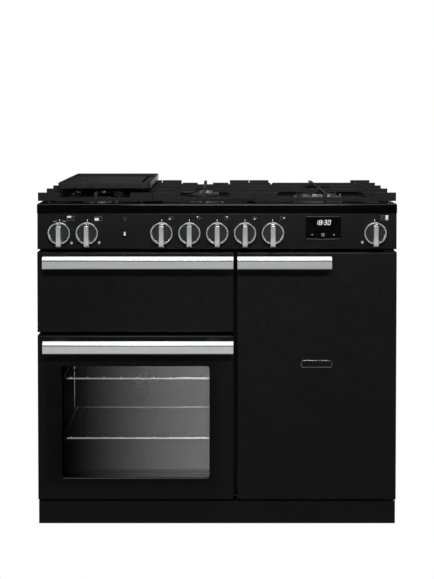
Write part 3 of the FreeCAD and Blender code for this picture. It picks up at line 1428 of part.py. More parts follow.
def grill_pan():
    """The enamelled pan: a drawn tray that hangs by its lip on the carriage."""
    t = 1.5
    z = (PAN_TOP - PAN_HEIGHT, PAN_TOP)
    x = (PAN_X[0] + PAN_LIP + 4, PAN_X[1] - PAN_LIP - 4)
    y = (PAN_Y[0] + PAN_LIP, PAN_Y[1] - PAN_LIP)
    outer = rounded_tray_block(x, y, z, 16.0)
    inner = rounded_tray_block((x[0] + t, x[1] - t), (y[0] + t, y[1] - t), (z[0] + t, z[1] + 1), 14.5)
    lip = rounded_tray_block(PAN_X, PAN_Y, (PAN_TOP - 2.0, PAN_TOP), 12.0)
    return outer.fuse(lip).cut(inner).removeSplitter()


def grill_trivet():
    """The wire trivet in the pan: a frame with cross wires, on four short feet."""
    r = WIRE_RADIUS * 0.8
    x = (PAN_X[0] + PAN_LIP + 14, PAN_X[1] - PAN_LIP - 14)
    y = (PAN_Y[0] + PAN_LIP + 12, PAN_Y[1] - PAN_LIP - 12)
    z = PAN_TOP - 6
    pieces = [rod((x[0], v, z), X_AXIS, r, x[1] - x[0]) for v in y]
    count = 9
    pitch = (x[1] - x[0]) / (count - 1)
    for i in range(count):
        pieces.append(rod((x[0] + i * pitch, y[0] - r, z), Y_AXIS, r, y[1] - y[0] + 2 * r))
    floor = PAN_TOP - PAN_HEIGHT + 1.5
    for fx in (x[0] + 2 * pitch, x[1] - 2 * pitch):
        for fy in y:
            pieces.append(rod((fx, fy, floor), Z_AXIS, r, z - floor))
    return pieces[0].multiFuse(pieces[1:])


def grill_front():
    """The grill drawer's front: the same pressed panel as the doors, closed at the back."""
    shell = door_shell(MAIN_DOOR_X, GRILL_Z, [])
    back = box(MAIN_DOOR_X, (DOOR_BACK_Y - INNER_PANEL_DEPTH, DOOR_BACK_Y), GRILL_Z)
    return fused([shell, back])


def rear_roller(side):
    """A rear roller with its bore and softened tread edges."""
    x = side * (HALF - ROLLER_INSET) - ROLLER_WIDTH / 2
    wheel = rod((x, ROLLER_Y, ROLLER_RADIUS), X_AXIS, ROLLER_RADIUS, ROLLER_WIDTH)
    wheel = wheel.makeFillet(2.5, [e for e in wheel.Edges if e.Closed])
    bore = rod((x - 1, ROLLER_Y, ROLLER_RADIUS), X_AXIS, AXLE_RADIUS + PIN_CLEARANCE, ROLLER_WIDTH + 2)
    return wheel.cut(bore)


def terminal_cover():
    """The cover of the mains terminal block on the back panel, with its cable gland hole."""
    x = (-INLET_X, -INLET_X + 80.0)
    y = (BACK_PANEL_Y + SHEET, BACK_PANEL_Y + SHEET + 26)
    z = (140.0, 210.0)
    body = rounded_slab(x, z, y, 5.0)
    gland = rod(((x[0] + x[1]) / 2, y[0] + 13, z[0] - 1), Z_AXIS, 9.0, 20.0)
    return body.cut(gland)


# ================================================================ the whole cooker
PIPE_LEVELS = (866.0, 856.0, 856.0, 866.0, 866.0)


def burner_pipes():
    """The five feed pipes, one from each tap to its burner."""
    return [
        burner_pipe(tap_x, x, y, level)
        for tap_x, (_, x, y, _), level in zip(GAS_KNOB_X, BURNERS, PIPE_LEVELS)
    ]


def build_casing():
    """Everything that stands still round the outside."""
    part("side_panels", grouped([side_panel(-1), side_panel(1)]))
    part("back_panel", back_panel())
    part("base_chassis", grouped([base_chassis(), levelling_foot(-1), levelling_foot(1)]))
    part("plinth", plinth())
    part("front_frame", front_frame())
    part("control_panel", control_panel())
    part("clock_module", clock_module())
    part("lamp_and_indicator_lenses", grouped([indicator_lenses(), lamp(OVEN_LEFT)]))
    part("terminal_cover", terminal_cover())
    part("rear_roller_left", rear_roller(-1))
    part("rear_roller_right", rear_roller(1))


def build_controls():
    """The knobs, the button and what they work."""
    for name, x in OVEN_KNOBS.items():
        part(name, knob(x, TAP_SPINDLE_TIP))
    for number, x in enumerate(GAS_KNOB_X, 1):
        part(f"knob_gas_{number}", knob(x, TAP_SPINDLE_TIP))
        part(f"tap_plunger_{number}", tap_plunger(x))
    part("light_button", light_button())
    part("tap_and_switch_bodies", tap_and_switch_bodies())
    part("gas_pipes", grouped([gas_rail()] + burner_pipes()))


def build_hob():
    """The hob, its burners, the three pan supports and the griddle."""
    part("hob_top", hob_top())
    part("rear_vent_trim", rear_vent_trim())
    part("burner_bases", burner_bases())
    part("burner_caps", burner_caps())
    e = SUPPORT_EDGES
    part("pan_support_left", pan_support(e[0], e[1], (BURNER_FRONT_Y, BURNER_REAR_Y)))
    part("pan_support_middle", pan_support(e[2], e[3], (BURNER_FRONT_Y, BURNER_REAR_Y)))
    part("pan_support_right", pan_support(e[4], e[5], (BURNER_MID_Y,)))
    part("griddle", griddle())


def build_ovens():
    """The three cavities with what is fixed in them, and the two fans."""
    main_x, main_z = (OVEN_LEFT, OVEN_RIGHT), (MAIN_FLOOR, MAIN_CEILING)
    tall_x, tall_z = (TALL_LEFT, TALL_RIGHT), (TALL_FLOOR, TALL_CEILING)
    part("main_oven_liner", liner(main_x, main_z, OVEN_DEPTH, FANS["main_oven_fan"]))
    part("tall_oven_liner", liner(tall_x, tall_z, OVEN_DEPTH, FANS["tall_oven_fan"]))
    part("grill_chamber_liner", liner(main_x, (GRILL_FLOOR, GRILL_CEILING), GRILL_DEPTH, None))
    baffles = [fan_baffle(main_x, main_z, FANS["main_oven_fan"]), fan_baffle(tall_x, tall_z, FANS["tall_oven_fan"])]
    part("fan_baffles", grouped(baffles))
    part("fan_motors", grouped([fan_motor(c) for c in FANS.values()]))
    for name, centre in FANS.items():
        part(name, fan(centre))
    part("heating_elements", heating_elements())
    racks = [wire_shelf(main_x, z) for z in MAIN_SHELF_HEIGHTS]
    racks += [wire_shelf(tall_x, z) for z in TALL_SHELF_HEIGHTS]
    for x, z, heights in ((main_x, main_z, MAIN_SHELF_HEIGHTS), (tall_x, tall_z, TALL_SHELF_HEIGHTS)):
        racks += [shelf_ladder(x[0], 1, z, heights), shelf_ladder(x[1], -1, z, heights)]
    part("oven_shelves", grouped(racks))
    part("door_seals", door_seals())


def build_doors():
    """The two oven doors and the glide-out grill."""
    part("main_oven_door", main_oven_door())
    part("main_oven_glasses", main_oven_glasses())
    part("main_oven_door_inner", main_oven_door_inner())
    part("main_oven_handle", handle(*WIDE_HANDLE, WIDE_HANDLE_POSTS, LOWER_HANDLE_Z))
    part("main_oven_hinge_arms", main_oven_hinge_arms())
    part("tall_oven_door", tall_oven_door())
    part("tall_oven_door_inner", tall_oven_door_inner())
    part("tall_oven_handle", handle(*TALL_HANDLE, TALL_HANDLE_POSTS, UPPER_HANDLE_Z))
    part("grill_front", grill_front())
    part("grill_handle", handle(*WIDE_HANDLE, WIDE_HANDLE_POSTS, UPPER_HANDLE_Z))
    part("grill_carriage", grill_carriage())
    part("grill_pan", grill_pan())
    part("grill_trivet", grill_trivet())
    part("fixed_runners", fixed_runners())
    part("middle_runners", middle_runners())


def save():
    """Writes one file for each sub-part."""
    os.makedirs("parts", exist_ok=True)
    for name, shape in PARTS.items():
        valid = shape.isValid()
        print(f"{name:28s} solids {len(shape.Solids):2d} volume {shape.Volume / 1000:9.1f} cm3 valid {valid}")
        shape.exportStep(f"parts/{name}.step")


build_casing()
build_controls()
build_hob()
build_ovens()
build_doors()
save()
print(len(PARTS), "sub-parts")
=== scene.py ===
import json
import math

import bmesh
import bpy
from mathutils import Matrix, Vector


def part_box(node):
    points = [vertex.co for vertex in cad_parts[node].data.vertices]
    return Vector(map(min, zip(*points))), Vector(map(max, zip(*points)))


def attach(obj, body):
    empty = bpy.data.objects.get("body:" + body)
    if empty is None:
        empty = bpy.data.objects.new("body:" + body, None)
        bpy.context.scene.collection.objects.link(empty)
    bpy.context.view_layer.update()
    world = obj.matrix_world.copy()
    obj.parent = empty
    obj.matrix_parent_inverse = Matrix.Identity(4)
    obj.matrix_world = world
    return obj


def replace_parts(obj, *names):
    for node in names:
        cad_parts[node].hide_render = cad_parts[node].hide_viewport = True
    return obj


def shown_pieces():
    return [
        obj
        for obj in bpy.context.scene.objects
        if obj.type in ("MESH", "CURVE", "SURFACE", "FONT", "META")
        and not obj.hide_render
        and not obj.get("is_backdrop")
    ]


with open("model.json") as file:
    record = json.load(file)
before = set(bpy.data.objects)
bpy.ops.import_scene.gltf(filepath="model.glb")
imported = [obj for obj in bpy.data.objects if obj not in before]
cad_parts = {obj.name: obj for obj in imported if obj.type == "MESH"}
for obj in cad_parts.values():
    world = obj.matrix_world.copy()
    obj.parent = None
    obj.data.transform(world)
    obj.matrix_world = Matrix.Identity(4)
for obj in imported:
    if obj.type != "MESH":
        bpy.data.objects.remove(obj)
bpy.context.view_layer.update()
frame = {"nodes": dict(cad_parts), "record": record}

SCENE = bpy.context.scene
NODES = frame["nodes"]
BODY_OF = {node: body for body, nodes in frame["record"]["behaviour"]["bodies"].items() for node in nodes}
MM = 0.001

# ---------------------------------------------------------------- places read from the frame
FASCIA_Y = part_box("control_panel")[0].y
DOOR_LOW, DOOR_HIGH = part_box("main_oven_door")
DOOR_Y = DOOR_LOW.y
TALL_DOOR_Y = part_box("tall_oven_door")[0].y
KNOB_Z = sum(corner.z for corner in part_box("tap_plunger_1")) / 2
CAVITY_LOW, CAVITY_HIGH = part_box("main_oven_liner")

# ---------------------------------------------------------------- shading, clean-up and printed marks
SMOOTH_ANGLE = 32.0
SHARP_EDGE_ANGLE = 38.0
FLAT_ANGLE = 0.8
MERGE_DISTANCE = 0.002 * MM
PRINT_THICKNESS = 0.12 * MM
DOT_STEPS = 20
RING_STEPS = 32

# ---------------------------------------------------------------- camera, fitted to the photograph
CAMERA_DISTANCE = 2.7983
CAMERA_HEIGHT = 1.1655
CAMERA_PITCH = 1.5
CAMERA_LENS = 63.37
CAMERA_SENSOR_HEIGHT = 36.0
CAMERA_SENSOR_WIDTH = 30.0
CAMERA_SHIFT = -0.2655

# ---------------------------------------------------------------- reflector card seen in the oven window
CARD_Y = -0.40
CARD_X = (-0.50, 0.0)
CARD_Z = (0.08, 0.43)
CARD_STRENGTH = 1.4
CARD_DARK_X = -0.45
CARD_BRIGHT_X = 0.0


# ================================================================ materials
class Finish:
    """A principled material with short helpers for its procedural nodes."""

    def __init__(self, name, **sockets):
        self.material = bpy.data.materials.new(name)
        self.material.use_nodes = True
        self.tree = self.material.node_tree
        self.shader = self.tree.nodes["Principled BSDF"]
        self.place = self.add("ShaderNodeTexCoord").outputs["Object"]
        for socket, value in sockets.items():
            self.shader.inputs[socket.replace("_", " ")].default_value = value

    def add(self, kind, **values):
        node = self.tree.nodes.new(kind)
        for key, value in values.items():
            setattr(node, key, value)
        return node

    def link(self, output, socket):
        self.tree.links.new(output, socket)

    def stretched(self, scale):
        """Object coordinates with a scale for each axis."""
        mapping = self.add("ShaderNodeMapping")
        mapping.inputs["Scale"].default_value = scale
        self.link(self.place, mapping.inputs["Vector"])
        return mapping.outputs["Vector"]

    def noise(self, scale, detail=4.0, vector=None, roughness=0.5):
        node = self.add("ShaderNodeTexNoise")
        node.inputs["Scale"].default_value = scale
        node.inputs["Detail"].default_value = detail
        node.inputs["Roughness"].default_value = roughness
        self.link(vector or self.place, node.inputs["Vector"])
        return node.outputs["Fac"]

    def ranged(self, value, low, high, start=0.0, end=1.0):
        """A value between start and end taken to low and high."""
        node = self.add("ShaderNodeMapRange")
        node.inputs["From Min"].default_value = start
        node.inputs["From Max"].default_value = end
        node.inputs["To Min"].default_value = low
        node.inputs["To Max"].default_value = high
        self.link(value, node.inputs["Value"])
        return node.outputs["Result"]

    def mixed(self, factor, first, second):
        """Two colours blended by a factor."""
        node = self.add("ShaderNodeMix", data_type="RGBA")
        node.inputs["A"].default_value = (*first, 1)
        node.inputs["B"].default_value = (*second, 1)
        self.link(factor, node.inputs["Factor"])
        return node.outputs["Result"]

    def colour(self, output):
        self.link(output, self.shader.inputs["Base Color"])

    def roughness(self, output):
        self.link(output, self.shader.inputs["Roughness"])

    def bump(self, height, strength, distance):
        node = self.add("ShaderNodeBump")
        node.inputs["Strength"].default_value = strength
        node.inputs["Distance"].default_value = distance
        self.link(height, node.inputs["Height"])
        self.link(node.outputs["Normal"], self.shader.inputs["Normal"])


def enamel(name, dark, light, rough, spread, peel):
    """Sprayed or fired enamel: nearly even colour, faint orange peel and slight handling marks."""
    f = Finish(name, Specular_IOR_Level=0.42, Coat_Weight=0.12, Coat_Roughness=0.12)
    broad = f.noise(3.5, 3.0)
    f.colour(f.mixed(f.ranged(broad, 0, 1, 0.35, 0.65), dark, light))
    marks = f.noise(38.0, 6.0, roughness=0.65)
    f.roughness(f.ranged(marks, rough - spread, rough + spread, 0.3, 0.7))
    f.bump(f.noise(520.0, 2.0), peel, 0.0004)
    return f.material


def cast_iron(name, dark, light, grain):
    """Matt enamelled cast iron with its sand grain."""
    f = Finish(name, Specular_IOR_Level=0.45)
    coarse = f.noise(60.0, 5.0, roughness=0.6)
    f.colour(f.mixed(f.ranged(coarse, 0, 1, 0.35, 0.7), dark, light))
    f.roughness(f.ranged(f.noise(240.0, 3.0), 0.42, 0.62, 0.3, 0.7))
    f.bump(f.noise(900.0, 4.0), grain, 0.0006)
    return f.material


def brushed(name, dark, light, along, rough):
    """Brushed steel with its lines running along one axis."""
    f = Finish(name, Metallic=1.0, Anisotropic=0.75)
    scale = [900.0, 900.0, 900.0]
    scale["XYZ".index(along)] = 6.0
    lines = f.noise(1.0, 5.0, f.stretched(scale), 0.7)
    f.colour(f.mixed(f.ranged(lines, 0, 1, 0.3, 0.7), dark, light))
    f.roughness(f.ranged(lines, rough - 0.06, rough + 0.08, 0.3, 0.7))
    f.bump(lines, 0.10, 0.0002)
    return f.material


def polished(name, dark, light, rough):
    """Bright plated metal with faint smears."""
    f = Finish(name, Metallic=1.0)
    smears = f.noise(45.0, 4.0, roughness=0.6)
    f.colour(f.mixed(f.ranged(smears, 0, 1, 0.3, 0.7), dark, light))
    f.roughness(f.ranged(smears, rough * 0.6, rough * 1.7, 0.3, 0.7))
    return f.material


def speckled_enamel(name, dark, light, fleck, rough):
    """Vitreous oven enamel with fine pale flecks."""
    f = Finish(name, Specular_IOR_Level=0.5, Coat_Weight=0.2, Coat_Roughness=0.1)
    cells = f.add("ShaderNodeTexVoronoi")
    cells.inputs["Scale"].default_value = 320.0
    f.link(f.place, cells.inputs["Vector"])
    flecks = f.ranged(cells.outputs["Distance"], 1, 0, 0.05, 0.16)
    broad = f.noise(5.0, 3.0)
    ground = f.mixed(f.ranged(broad, 0, 1, 0.35, 0.65), dark, light)
    mix = f.add("ShaderNodeMix", data_type="RGBA")
    mix.inputs["B"].default_value = (*fleck, 1)
    f.link(f.ranged(flecks, 0, 0.5), mix.inputs["Factor"])
    f.link(ground, mix.inputs["A"])
    f.colour(mix.outputs["Result"])
    f.roughness(f.ranged(broad, rough - 0.05, rough + 0.08, 0.35, 0.65))
    f.bump(f.noise(400.0, 2.0), 0.06, 0.0004)
    return f.material


def moulded(name, dark, light, rough, **sockets):
    """Moulded plastic or rubber with a fine spark-eroded texture."""
    f = Finish(name, **sockets)
    f.colour(f.mixed(f.ranged(f.noise(30.0, 4.0), 0, 1, 0.35, 0.65), dark, light))
    f.roughness(f.ranged(f.noise(160.0, 3.0), rough - 0.05, rough + 0.07, 0.3, 0.7))
    f.bump(f.noise(1400.0, 2.0), 0.08, 0.0002)
    return f.material


def galvanised(name):
    """Zinc-coated sheet with its crystal pattern."""
    f = Finish(name, Metallic=0.85)
    cells = f.add("ShaderNodeTexVoronoi")
    cells.inputs["Scale"].default_value = 70.0
    f.link(f.place, cells.inputs["Vector"])
    crystal = f.add("ShaderNodeSeparateColor")
    f.link(cells.outputs["Color"], crystal.inputs["Color"])
    f.colour(f.mixed(crystal.outputs["Red"], (0.36, 0.37, 0.38), (0.50, 0.51, 0.52)))
    f.roughness(f.ranged(crystal.outputs["Green"], 0.34, 0.5))
    f.bump(f.noise(160.0, 3.0), 0.05, 0.0003)
    return f.material


def pane(name, tint, rough):
    """Clear or tinted glass with slight wiping marks."""
    f = Finish(name, Transmission_Weight=1.0, IOR=1.45)
    f.colour(f.mixed(f.ranged(f.noise(2.5, 2.0), 0, 1, 0.3, 0.7), tint, tuple(c * 0.94 for c in tint)))
    f.roughness(f.ranged(f.noise(26.0, 4.0), rough * 0.5, rough * 1.5, 0.3, 0.7))
    return f.material


def printed(name, dark, light):
    """Screen-printed marks, and painted highlights in the same pale ink, with slight unevenness."""
    f = Finish(name, Specular_IOR_Level=0.3)
    f.colour(f.mixed(f.noise(700.0, 3.0), dark, light))
    f.roughness(f.ranged(f.noise(500.0, 2.0), 0.4, 0.6))
    return f.material


def glowing(name, colour, strength):
    """A mark or display segment that shines a little by itself; on the white fascia marks this glow is
    painted highlight.
    """
    f = Finish(name, Emission_Strength=strength, Roughness=0.5)
    tone = f.mixed(f.noise(900.0, 2.0), tuple(c * 0.9 for c in colour), colour)
    f.colour(tone)
    f.link(tone, f.shader.inputs["Emission Color"])
    return f.material


MATERIALS = {
    "gloss": enamel("gloss_enamel", (0.0022, 0.0022, 0.0024), (0.0032, 0.0032, 0.0035), 0.12, 0.03, 0.02),
    "satin": enamel("satin_enamel", (0.0022, 0.0022, 0.0026), (0.0032, 0.0032, 0.0038), 0.46, 0.04, 0.05),
    "frame": enamel("frame_enamel", (0.005, 0.005, 0.0055), (0.008, 0.008, 0.0085), 0.42, 0.06, 0.08),
    "iron": cast_iron("cast_iron", (0.0050, 0.0050, 0.0053), (0.0110, 0.0110, 0.0115), 0.25),
    "griddle": cast_iron("griddle_iron", (0.0075, 0.0075, 0.0078), (0.0180, 0.0180, 0.0185), 0.6),
    "cap": cast_iron("cap_enamel", (0.0060, 0.0060, 0.0063), (0.0110, 0.0110, 0.0115), 0.1),
    "bar": brushed("bar_steel", (0.60, 0.61, 0.62), (0.80, 0.81, 0.82), "X", 0.24),
    "grip": brushed("grip_steel", (0.55, 0.56, 0.57), (0.78, 0.79, 0.80), "Z", 0.26),
    "steel": brushed("drawn_steel", (0.38, 0.385, 0.39), (0.55, 0.555, 0.56), "Y", 0.34),
    "chrome": polished("chrome", (0.60, 0.61, 0.62), (0.74, 0.75, 0.76), 0.20),
    "wire": polished("plated_wire", (0.62, 0.63, 0.64), (0.84, 0.85, 0.86), 0.14),
    "alloy": polished("burner_alloy", (0.34, 0.34, 0.35), (0.48, 0.48, 0.49), 0.38),
    "sheath": polished("element_sheath", (0.12, 0.11, 0.105), (0.24, 0.22, 0.205), 0.45),
    "zinc": galvanised("galvanised_sheet"),
    "cavity": speckled_enamel(
        "cavity_enamel", (0.028, 0.028, 0.029), (0.046, 0.046, 0.048), (0.11, 0.11, 0.115), 0.50
    ),
    "dial": moulded("dial_black", (0.006, 0.006, 0.0065), (0.010, 0.010, 0.011), 0.38),
    "plastic": moulded("black_plastic", (0.012, 0.012, 0.012), (0.022, 0.022, 0.023), 0.5),
    "rubber": moulded("seal_rubber", (0.014, 0.014, 0.014), (0.026, 0.025, 0.025), 0.72),
    "display": moulded("display_gloss", (0.003, 0.003, 0.0035), (0.005, 0.005, 0.006), 0.1, Coat_Weight=0.4),
    "outer_glass": pane("outer_glass", (0.88, 0.88, 0.88), 0.005),
    "inner_glass": pane("inner_glass", (0.87, 0.87, 0.87), 0.005),
    "lens": moulded("indicator_lens", (0.62, 0.60, 0.58), (0.74, 0.72, 0.70), 0.22, Coat_Weight=0.5),
    # white ink that glows though no lamp lights it: painted highlight on the fascia's white marks and the
    # button's dots
    "ink": glowing("white_ink", (0.70, 0.70, 0.70), 0.55),
    "soft_ink": glowing("soft_ink", (0.50, 0.50, 0.50), 0.6),
    # faint grey ink for the printed outlines, also used as painted highlight on the clock's lip and the
    # window's lower edge
    "faint_ink": printed("faint_ink", (0.16, 0.16, 0.16), (0.24, 0.24, 0.24)),
    "digit": glowing("lit_digit", (0.88, 0.90, 0.93), 1.6),
}


# ================================================================ shared helpers
def shown(obj, finish, body):
    """Gives a new piece its finish and smooth shading, and lets it ride on its body."""
    if obj.name not in SCENE.collection.objects:
        SCENE.collection.objects.link(obj)
    painted(obj, finish)
    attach(obj, body)


def painted(obj, *finishes):
    """Sets the finishes of a piece and shades its rounded faces smoothly."""
    if obj.data.materials:
        obj.data.materials.clear()
    for finish in finishes:
        obj.data.materials.append(MATERIALS[finish])
    obj.data.shade_smooth()
    obj.data.set_sharp_from_angle(angle=math.radians(SMOOTH_ANGLE))
    return obj


def softened(obj, width, segments=2):
    """Rounds the hard edges of a piece by a width in millimetres."""
    edge = obj.modifiers.new("softened", "BEVEL")
    edge.width = width * MM
    edge.segments = segments
    edge.limit_method = "ANGLE"
    edge.angle_limit = math.radians(SHARP_EDGE_ANGLE)
    return obj


def dressed(node, finish, edge=0.0):
    """Finishes a CAD node; with an edge width, a copy with softened edges stands for it."""
    if not edge:
        return painted(NODES[node], finish)
    build = bmesh.new()
    build.from_mesh(NODES[node].data)
    bmesh.ops.remove_doubles(build, verts=build.verts, dist=MERGE_DISTANCE)
    bmesh.ops.dissolve_limit(
        build, angle_limit=math.radians(FLAT_ANGLE), verts=build.verts, edges=build.edges
    )
    obj = from_bmesh(f"{node}_look", build)
    shown(softened(obj, edge), finish, BODY_OF[node])
    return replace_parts(obj, node)


def from_bmesh(name, build):
    """A new object from a bmesh, which is freed."""
    mesh = bpy.data.meshes.new(name)
    build.to_mesh(mesh)
    build.free()
    return bpy.data.objects.new(name, mesh)


def middle_of(node):
    """The middle of a CAD node's box."""
    low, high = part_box(node)
    return (low + high) / 2


def repaint(obj, finish, chosen):
    """Gives the faces whose centre is chosen another finish."""
    obj.data.materials.append(MATERIALS[finish])
    index = len(obj.data.materials) - 1
    for face in obj.data.polygons:
        if chosen(face.center):
            face.material_index = index


class FrontPrint:
    """Flat marks drawn on a plane that faces the front, kept as one thin piece."""

    def __init__(self, y):
        self.build = bmesh.new()
        self.y = y

    def shape(self, points):
        """A filled outline through (x, z) points in millimetres, counted anticlockwise from the front."""
        verts = [self.build.verts.new((x * MM, self.y, z * MM)) for x, z in points]
        self.build.faces.new(verts)

    def bar(self, x, z, width, height, turn=0.0):
        """A bar round its middle, turned by degrees."""
        c, s = math.cos(math.radians(turn)), math.sin(math.radians(turn))
        w, h = width / 2, height / 2
        corners = ((-w, -h), (w, -h), (w, h), (-w, h))
        self.shape([(x + u * c - v * s, z + u * s + v * c) for u, v in corners])

    def dot(self, x, z, radius):
        """A filled circle."""
        self.shape([(x + radius * math.cos(a), z + radius * math.sin(a)) for a in turns(DOT_STEPS)])

    def ring(self, x, z, radius, line):
        """A circle drawn with a line of the given width."""
        angles = turns(RING_STEPS)
        for a, b in zip(angles, angles[1:] + angles[:1]):
            ring = [(radius - line, a), (radius, a), (radius, b), (radius - line, b)]
            self.shape([(x + r * math.cos(t), z + r * math.sin(t)) for r, t in ring])

    def frame(self, x0, x1, z0, z1, line):
        """A box drawn with four lines."""
        self.bar((x0 + x1) / 2, z0 + line / 2, x1 - x0, line)
        self.bar((x0 + x1) / 2, z1 - line / 2, x1 - x0, line)
        self.bar(x0 + line / 2, (z0 + z1) / 2, line, z1 - z0 - 2 * line)
        self.bar(x1 - line / 2, (z0 + z1) / 2, line, z1 - z0 - 2 * line)

    def finished(self, name, finish, body):
        """Gives the marks their thickness and finish, and lets them ride on a body."""
        obj = from_bmesh(name, self.build)
        depth = obj.modifiers.new("ink", "SOLIDIFY")
        depth.thickness = PRINT_THICKNESS
        depth.offset = 1.0
        shown(obj, finish, body)


def turns(steps):
    """Evenly spaced angles round a full turn."""
    return [2 * math.pi * i / steps for i in range(steps)]


# ================================================================ casing, hob and ovens
HANDLES = ("grill_handle", "main_oven_handle", "tall_oven_handle")
SWITCHES_FROM_X = 0.2  # metres; the switches sit further out on both sides, the taps between them


def casing():
    """The enamelled shell, the frame behind the doors, and the parts at the back and floor."""
    dressed("side_panels", "satin", 0.6)
    dressed("plinth", "satin", 0.5)
    dressed("control_panel", "satin", 0.4)
    dressed("front_frame", "frame", 0.5)
    dressed("rear_vent_trim", "satin", 0.5)
    dressed("back_panel", "zinc", 0.3)
    dressed("base_chassis", "zinc", 0.3)
    dressed("terminal_cover", "plastic", 0.6)
    for side in ("left", "right"):
        dressed(f"rear_roller_{side}", "plastic", 0.5)


def hob():
    """The glossy hob top, burners, cast pan supports and griddle."""
    dressed("hob_top", "gloss", 0.5)
    dressed("burner_bases", "alloy", 0.4)
    dressed("burner_caps", "cap", 0.5)
    for place in ("left", "middle", "right"):
        dressed(f"pan_support_{place}", "iron", 1.0)
    dressed("griddle", "griddle", 1.2)


def gas_train():
    """Taps, switches, pipes and push-in spindles behind the fascia."""
    switches = dressed("tap_and_switch_bodies", "alloy", 0.4)
    repaint(switches, "plastic", lambda centre: abs(centre.x) > SWITCHES_FROM_X)
    dressed("gas_pipes", "steel")
    for number in range(1, 6):
        dressed(f"tap_plunger_{number}", "steel", 0.3)


def ovens():
    """Cavities, shelves, fans, elements and seals."""
    for cavity in ("main_oven_liner", "tall_oven_liner", "grill_chamber_liner", "fan_baffles"):
        dressed(cavity, "cavity", 0.6)
    dressed("oven_shelves", "wire")
    dressed("heating_elements", "sheath")
    dressed("fan_motors", "zinc", 0.4)
    dressed("main_oven_fan", "steel", 0.3)
    dressed("tall_oven_fan", "steel", 0.3)
    dressed("door_seals", "rubber", 0.8)


def doors():
    """Door skins, inner panels, glasses and hinges."""
    for node in ("main_oven_door", "tall_oven_door", "grill_front"):
        dressed(node, "satin", 0.5)
    for node in ("main_oven_door_inner", "tall_oven_door_inner"):
        dressed(node, "cavity", 0.5)
    glasses = dressed("main_oven_glasses", "outer_glass", 0.4)
    middle = (DOOR_LOW.y + DOOR_HIGH.y) / 2
    repaint(glasses, "inner_glass", lambda centre: centre.y > middle)
    dressed("main_oven_hinge_arms", "steel", 0.4)


def grill():
    """The glide-out grill behind its front: carriage, pan, trivet and runners."""
    dressed("grill_carriage", "zinc", 0.4)
    dressed("grill_pan", "cavity", 0.6)
    dressed("grill_trivet", "wire")
    for node in ("fixed_runners", "middle_runners"):
        dressed(node, "zinc", 0.2)


def handles():
    """The bar handles with their bevelled tops."""
    for node in HANDLES:
        dressed(node, "bar", 0.6)


# ================================================================ controls, in millimetres
KNOBS = ("knob_grill", "knob_main_oven", "knob_tall_oven", *(f"knob_gas_{number}" for number in range(1, 6)))
KNOB_STEPS = 64
KNOB_RIM_PROUD = 16.5  # from the fascia to the knob's rim
KNOB_DEPTH = 12.0
RIM_CORNER = 1.4  # the rim's outer corner, rounded in two steps
RIM_FLAT = 3.0
DISH_WIDTH = 6.4
DISH_DEPTH = 3.4
DIAL_DEPTH = 4.0
DIAL_STEP = 11.0
GRIP_ROOT = 4.5  # how far the grip reaches behind the rim
GRIP_EDGE = 1.1
GRIP_SECTIONS = (
    # height above the spindle, half width in front and behind, and how far the front stands out
    (25.5, 5.8, 7.0, 3.0),
    (22.0, 6.2, 7.3, 12.6),
    (0.0, 6.6, 7.5, 14.0),
    (-31.0, 7.0, 7.5, 13.0),
    (-35.0, 7.6, 7.9, 11.0),
    (-38.0, 8.2, 8.2, 6.0),
)
BUTTON_HIGHLIGHT_DOTS = ((3.0, 2.3), (-2.2, 3.3))  # height over the button's middle, and radius, of two glowing dots that are a painted highlight on the button


def turned(name, profile, finishes, centre):
    """A piece turned round a front-to-back axis from (radius, depth) points, and the finishes it uses."""
    build = bmesh.new()
    rings = []
    for radius, depth in profile:
        points = [Vector((radius * math.cos(a), depth, radius * math.sin(a))) for a in turns(KNOB_STEPS)]
        rings.append([build.verts.new(centre + point * MM) for point in points])
    used = list(dict.fromkeys(finishes))
    for first, second, finish in zip(rings, rings[1:], finishes):
        for i in range(KNOB_STEPS):
            j = (i + 1) % KNOB_STEPS
            face = build.faces.new((first[i], first[j], second[j], second[i]))
            face.material_index = used.index(finish)
    face = build.faces.new(rings[-1])
    face.material_index = used.index(finishes[-1])
    bmesh.ops.recalc_face_normals(build, faces=build.faces)
    return from_bmesh(name, build), used


def knob_look(node):
    """A knob: dished plated ring, recessed black dial and a brushed grip with a flared foot."""
    low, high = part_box(node)
    radius = (high.x - low.x) / 2 / MM
    centre = Vector(((low.x + high.x) / 2, FASCIA_Y - KNOB_RIM_PROUD * MM, KNOB_Z))
    plated = (
        (radius, KNOB_DEPTH),
        (radius, RIM_CORNER),
        (radius - 0.5, 0.5),
        (radius - RIM_CORNER, 0.0),
        (radius - RIM_FLAT, 0.2),
    )
    dish_and_dial = (
        (radius - DISH_WIDTH, DISH_DEPTH),
        (radius - DISH_WIDTH - 0.4, DIAL_DEPTH),
        (radius - DIAL_STEP, DIAL_DEPTH),
        (radius - DIAL_STEP - 0.6, DIAL_DEPTH - 1.0),
        (0.5, DIAL_DEPTH - 1.4),
    )
    bands = ["chrome"] * len(plated) + ["dial"] * (len(dish_and_dial) - 1)
    ring, used = turned(f"{node}_ring", plated + dish_and_dial, bands, centre)
    SCENE.collection.objects.link(ring)
    painted(ring, *used)
    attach(ring, BODY_OF[node])
    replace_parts(ring, node)
    grip = lofted(f"{node}_grip", centre, GRIP_SECTIONS)
    shown(softened(grip, GRIP_EDGE, 3), "grip", BODY_OF[node])


def lofted(name, centre, sections):
    """A closed bar through rectangular sections at several heights."""
    build = bmesh.new()
    rows = []
    for z, front, back, proud in sections:
        corners = ((-back, GRIP_ROOT), (-front, -proud), (front, -proud), (back, GRIP_ROOT))
        rows.append([build.verts.new(centre + Vector((x, y, z)) * MM) for x, y in corners])
    for upper, lower in zip(rows, rows[1:]):
        for i in range(4):
            j = (i + 1) % 4
            build.faces.new((upper[i], upper[j], lower[j], lower[i]))
    build.faces.new(rows[0])
    build.faces.new(rows[-1])
    bmesh.ops.recalc_face_normals(build, faces=build.faces)
    return from_bmesh(name, build)


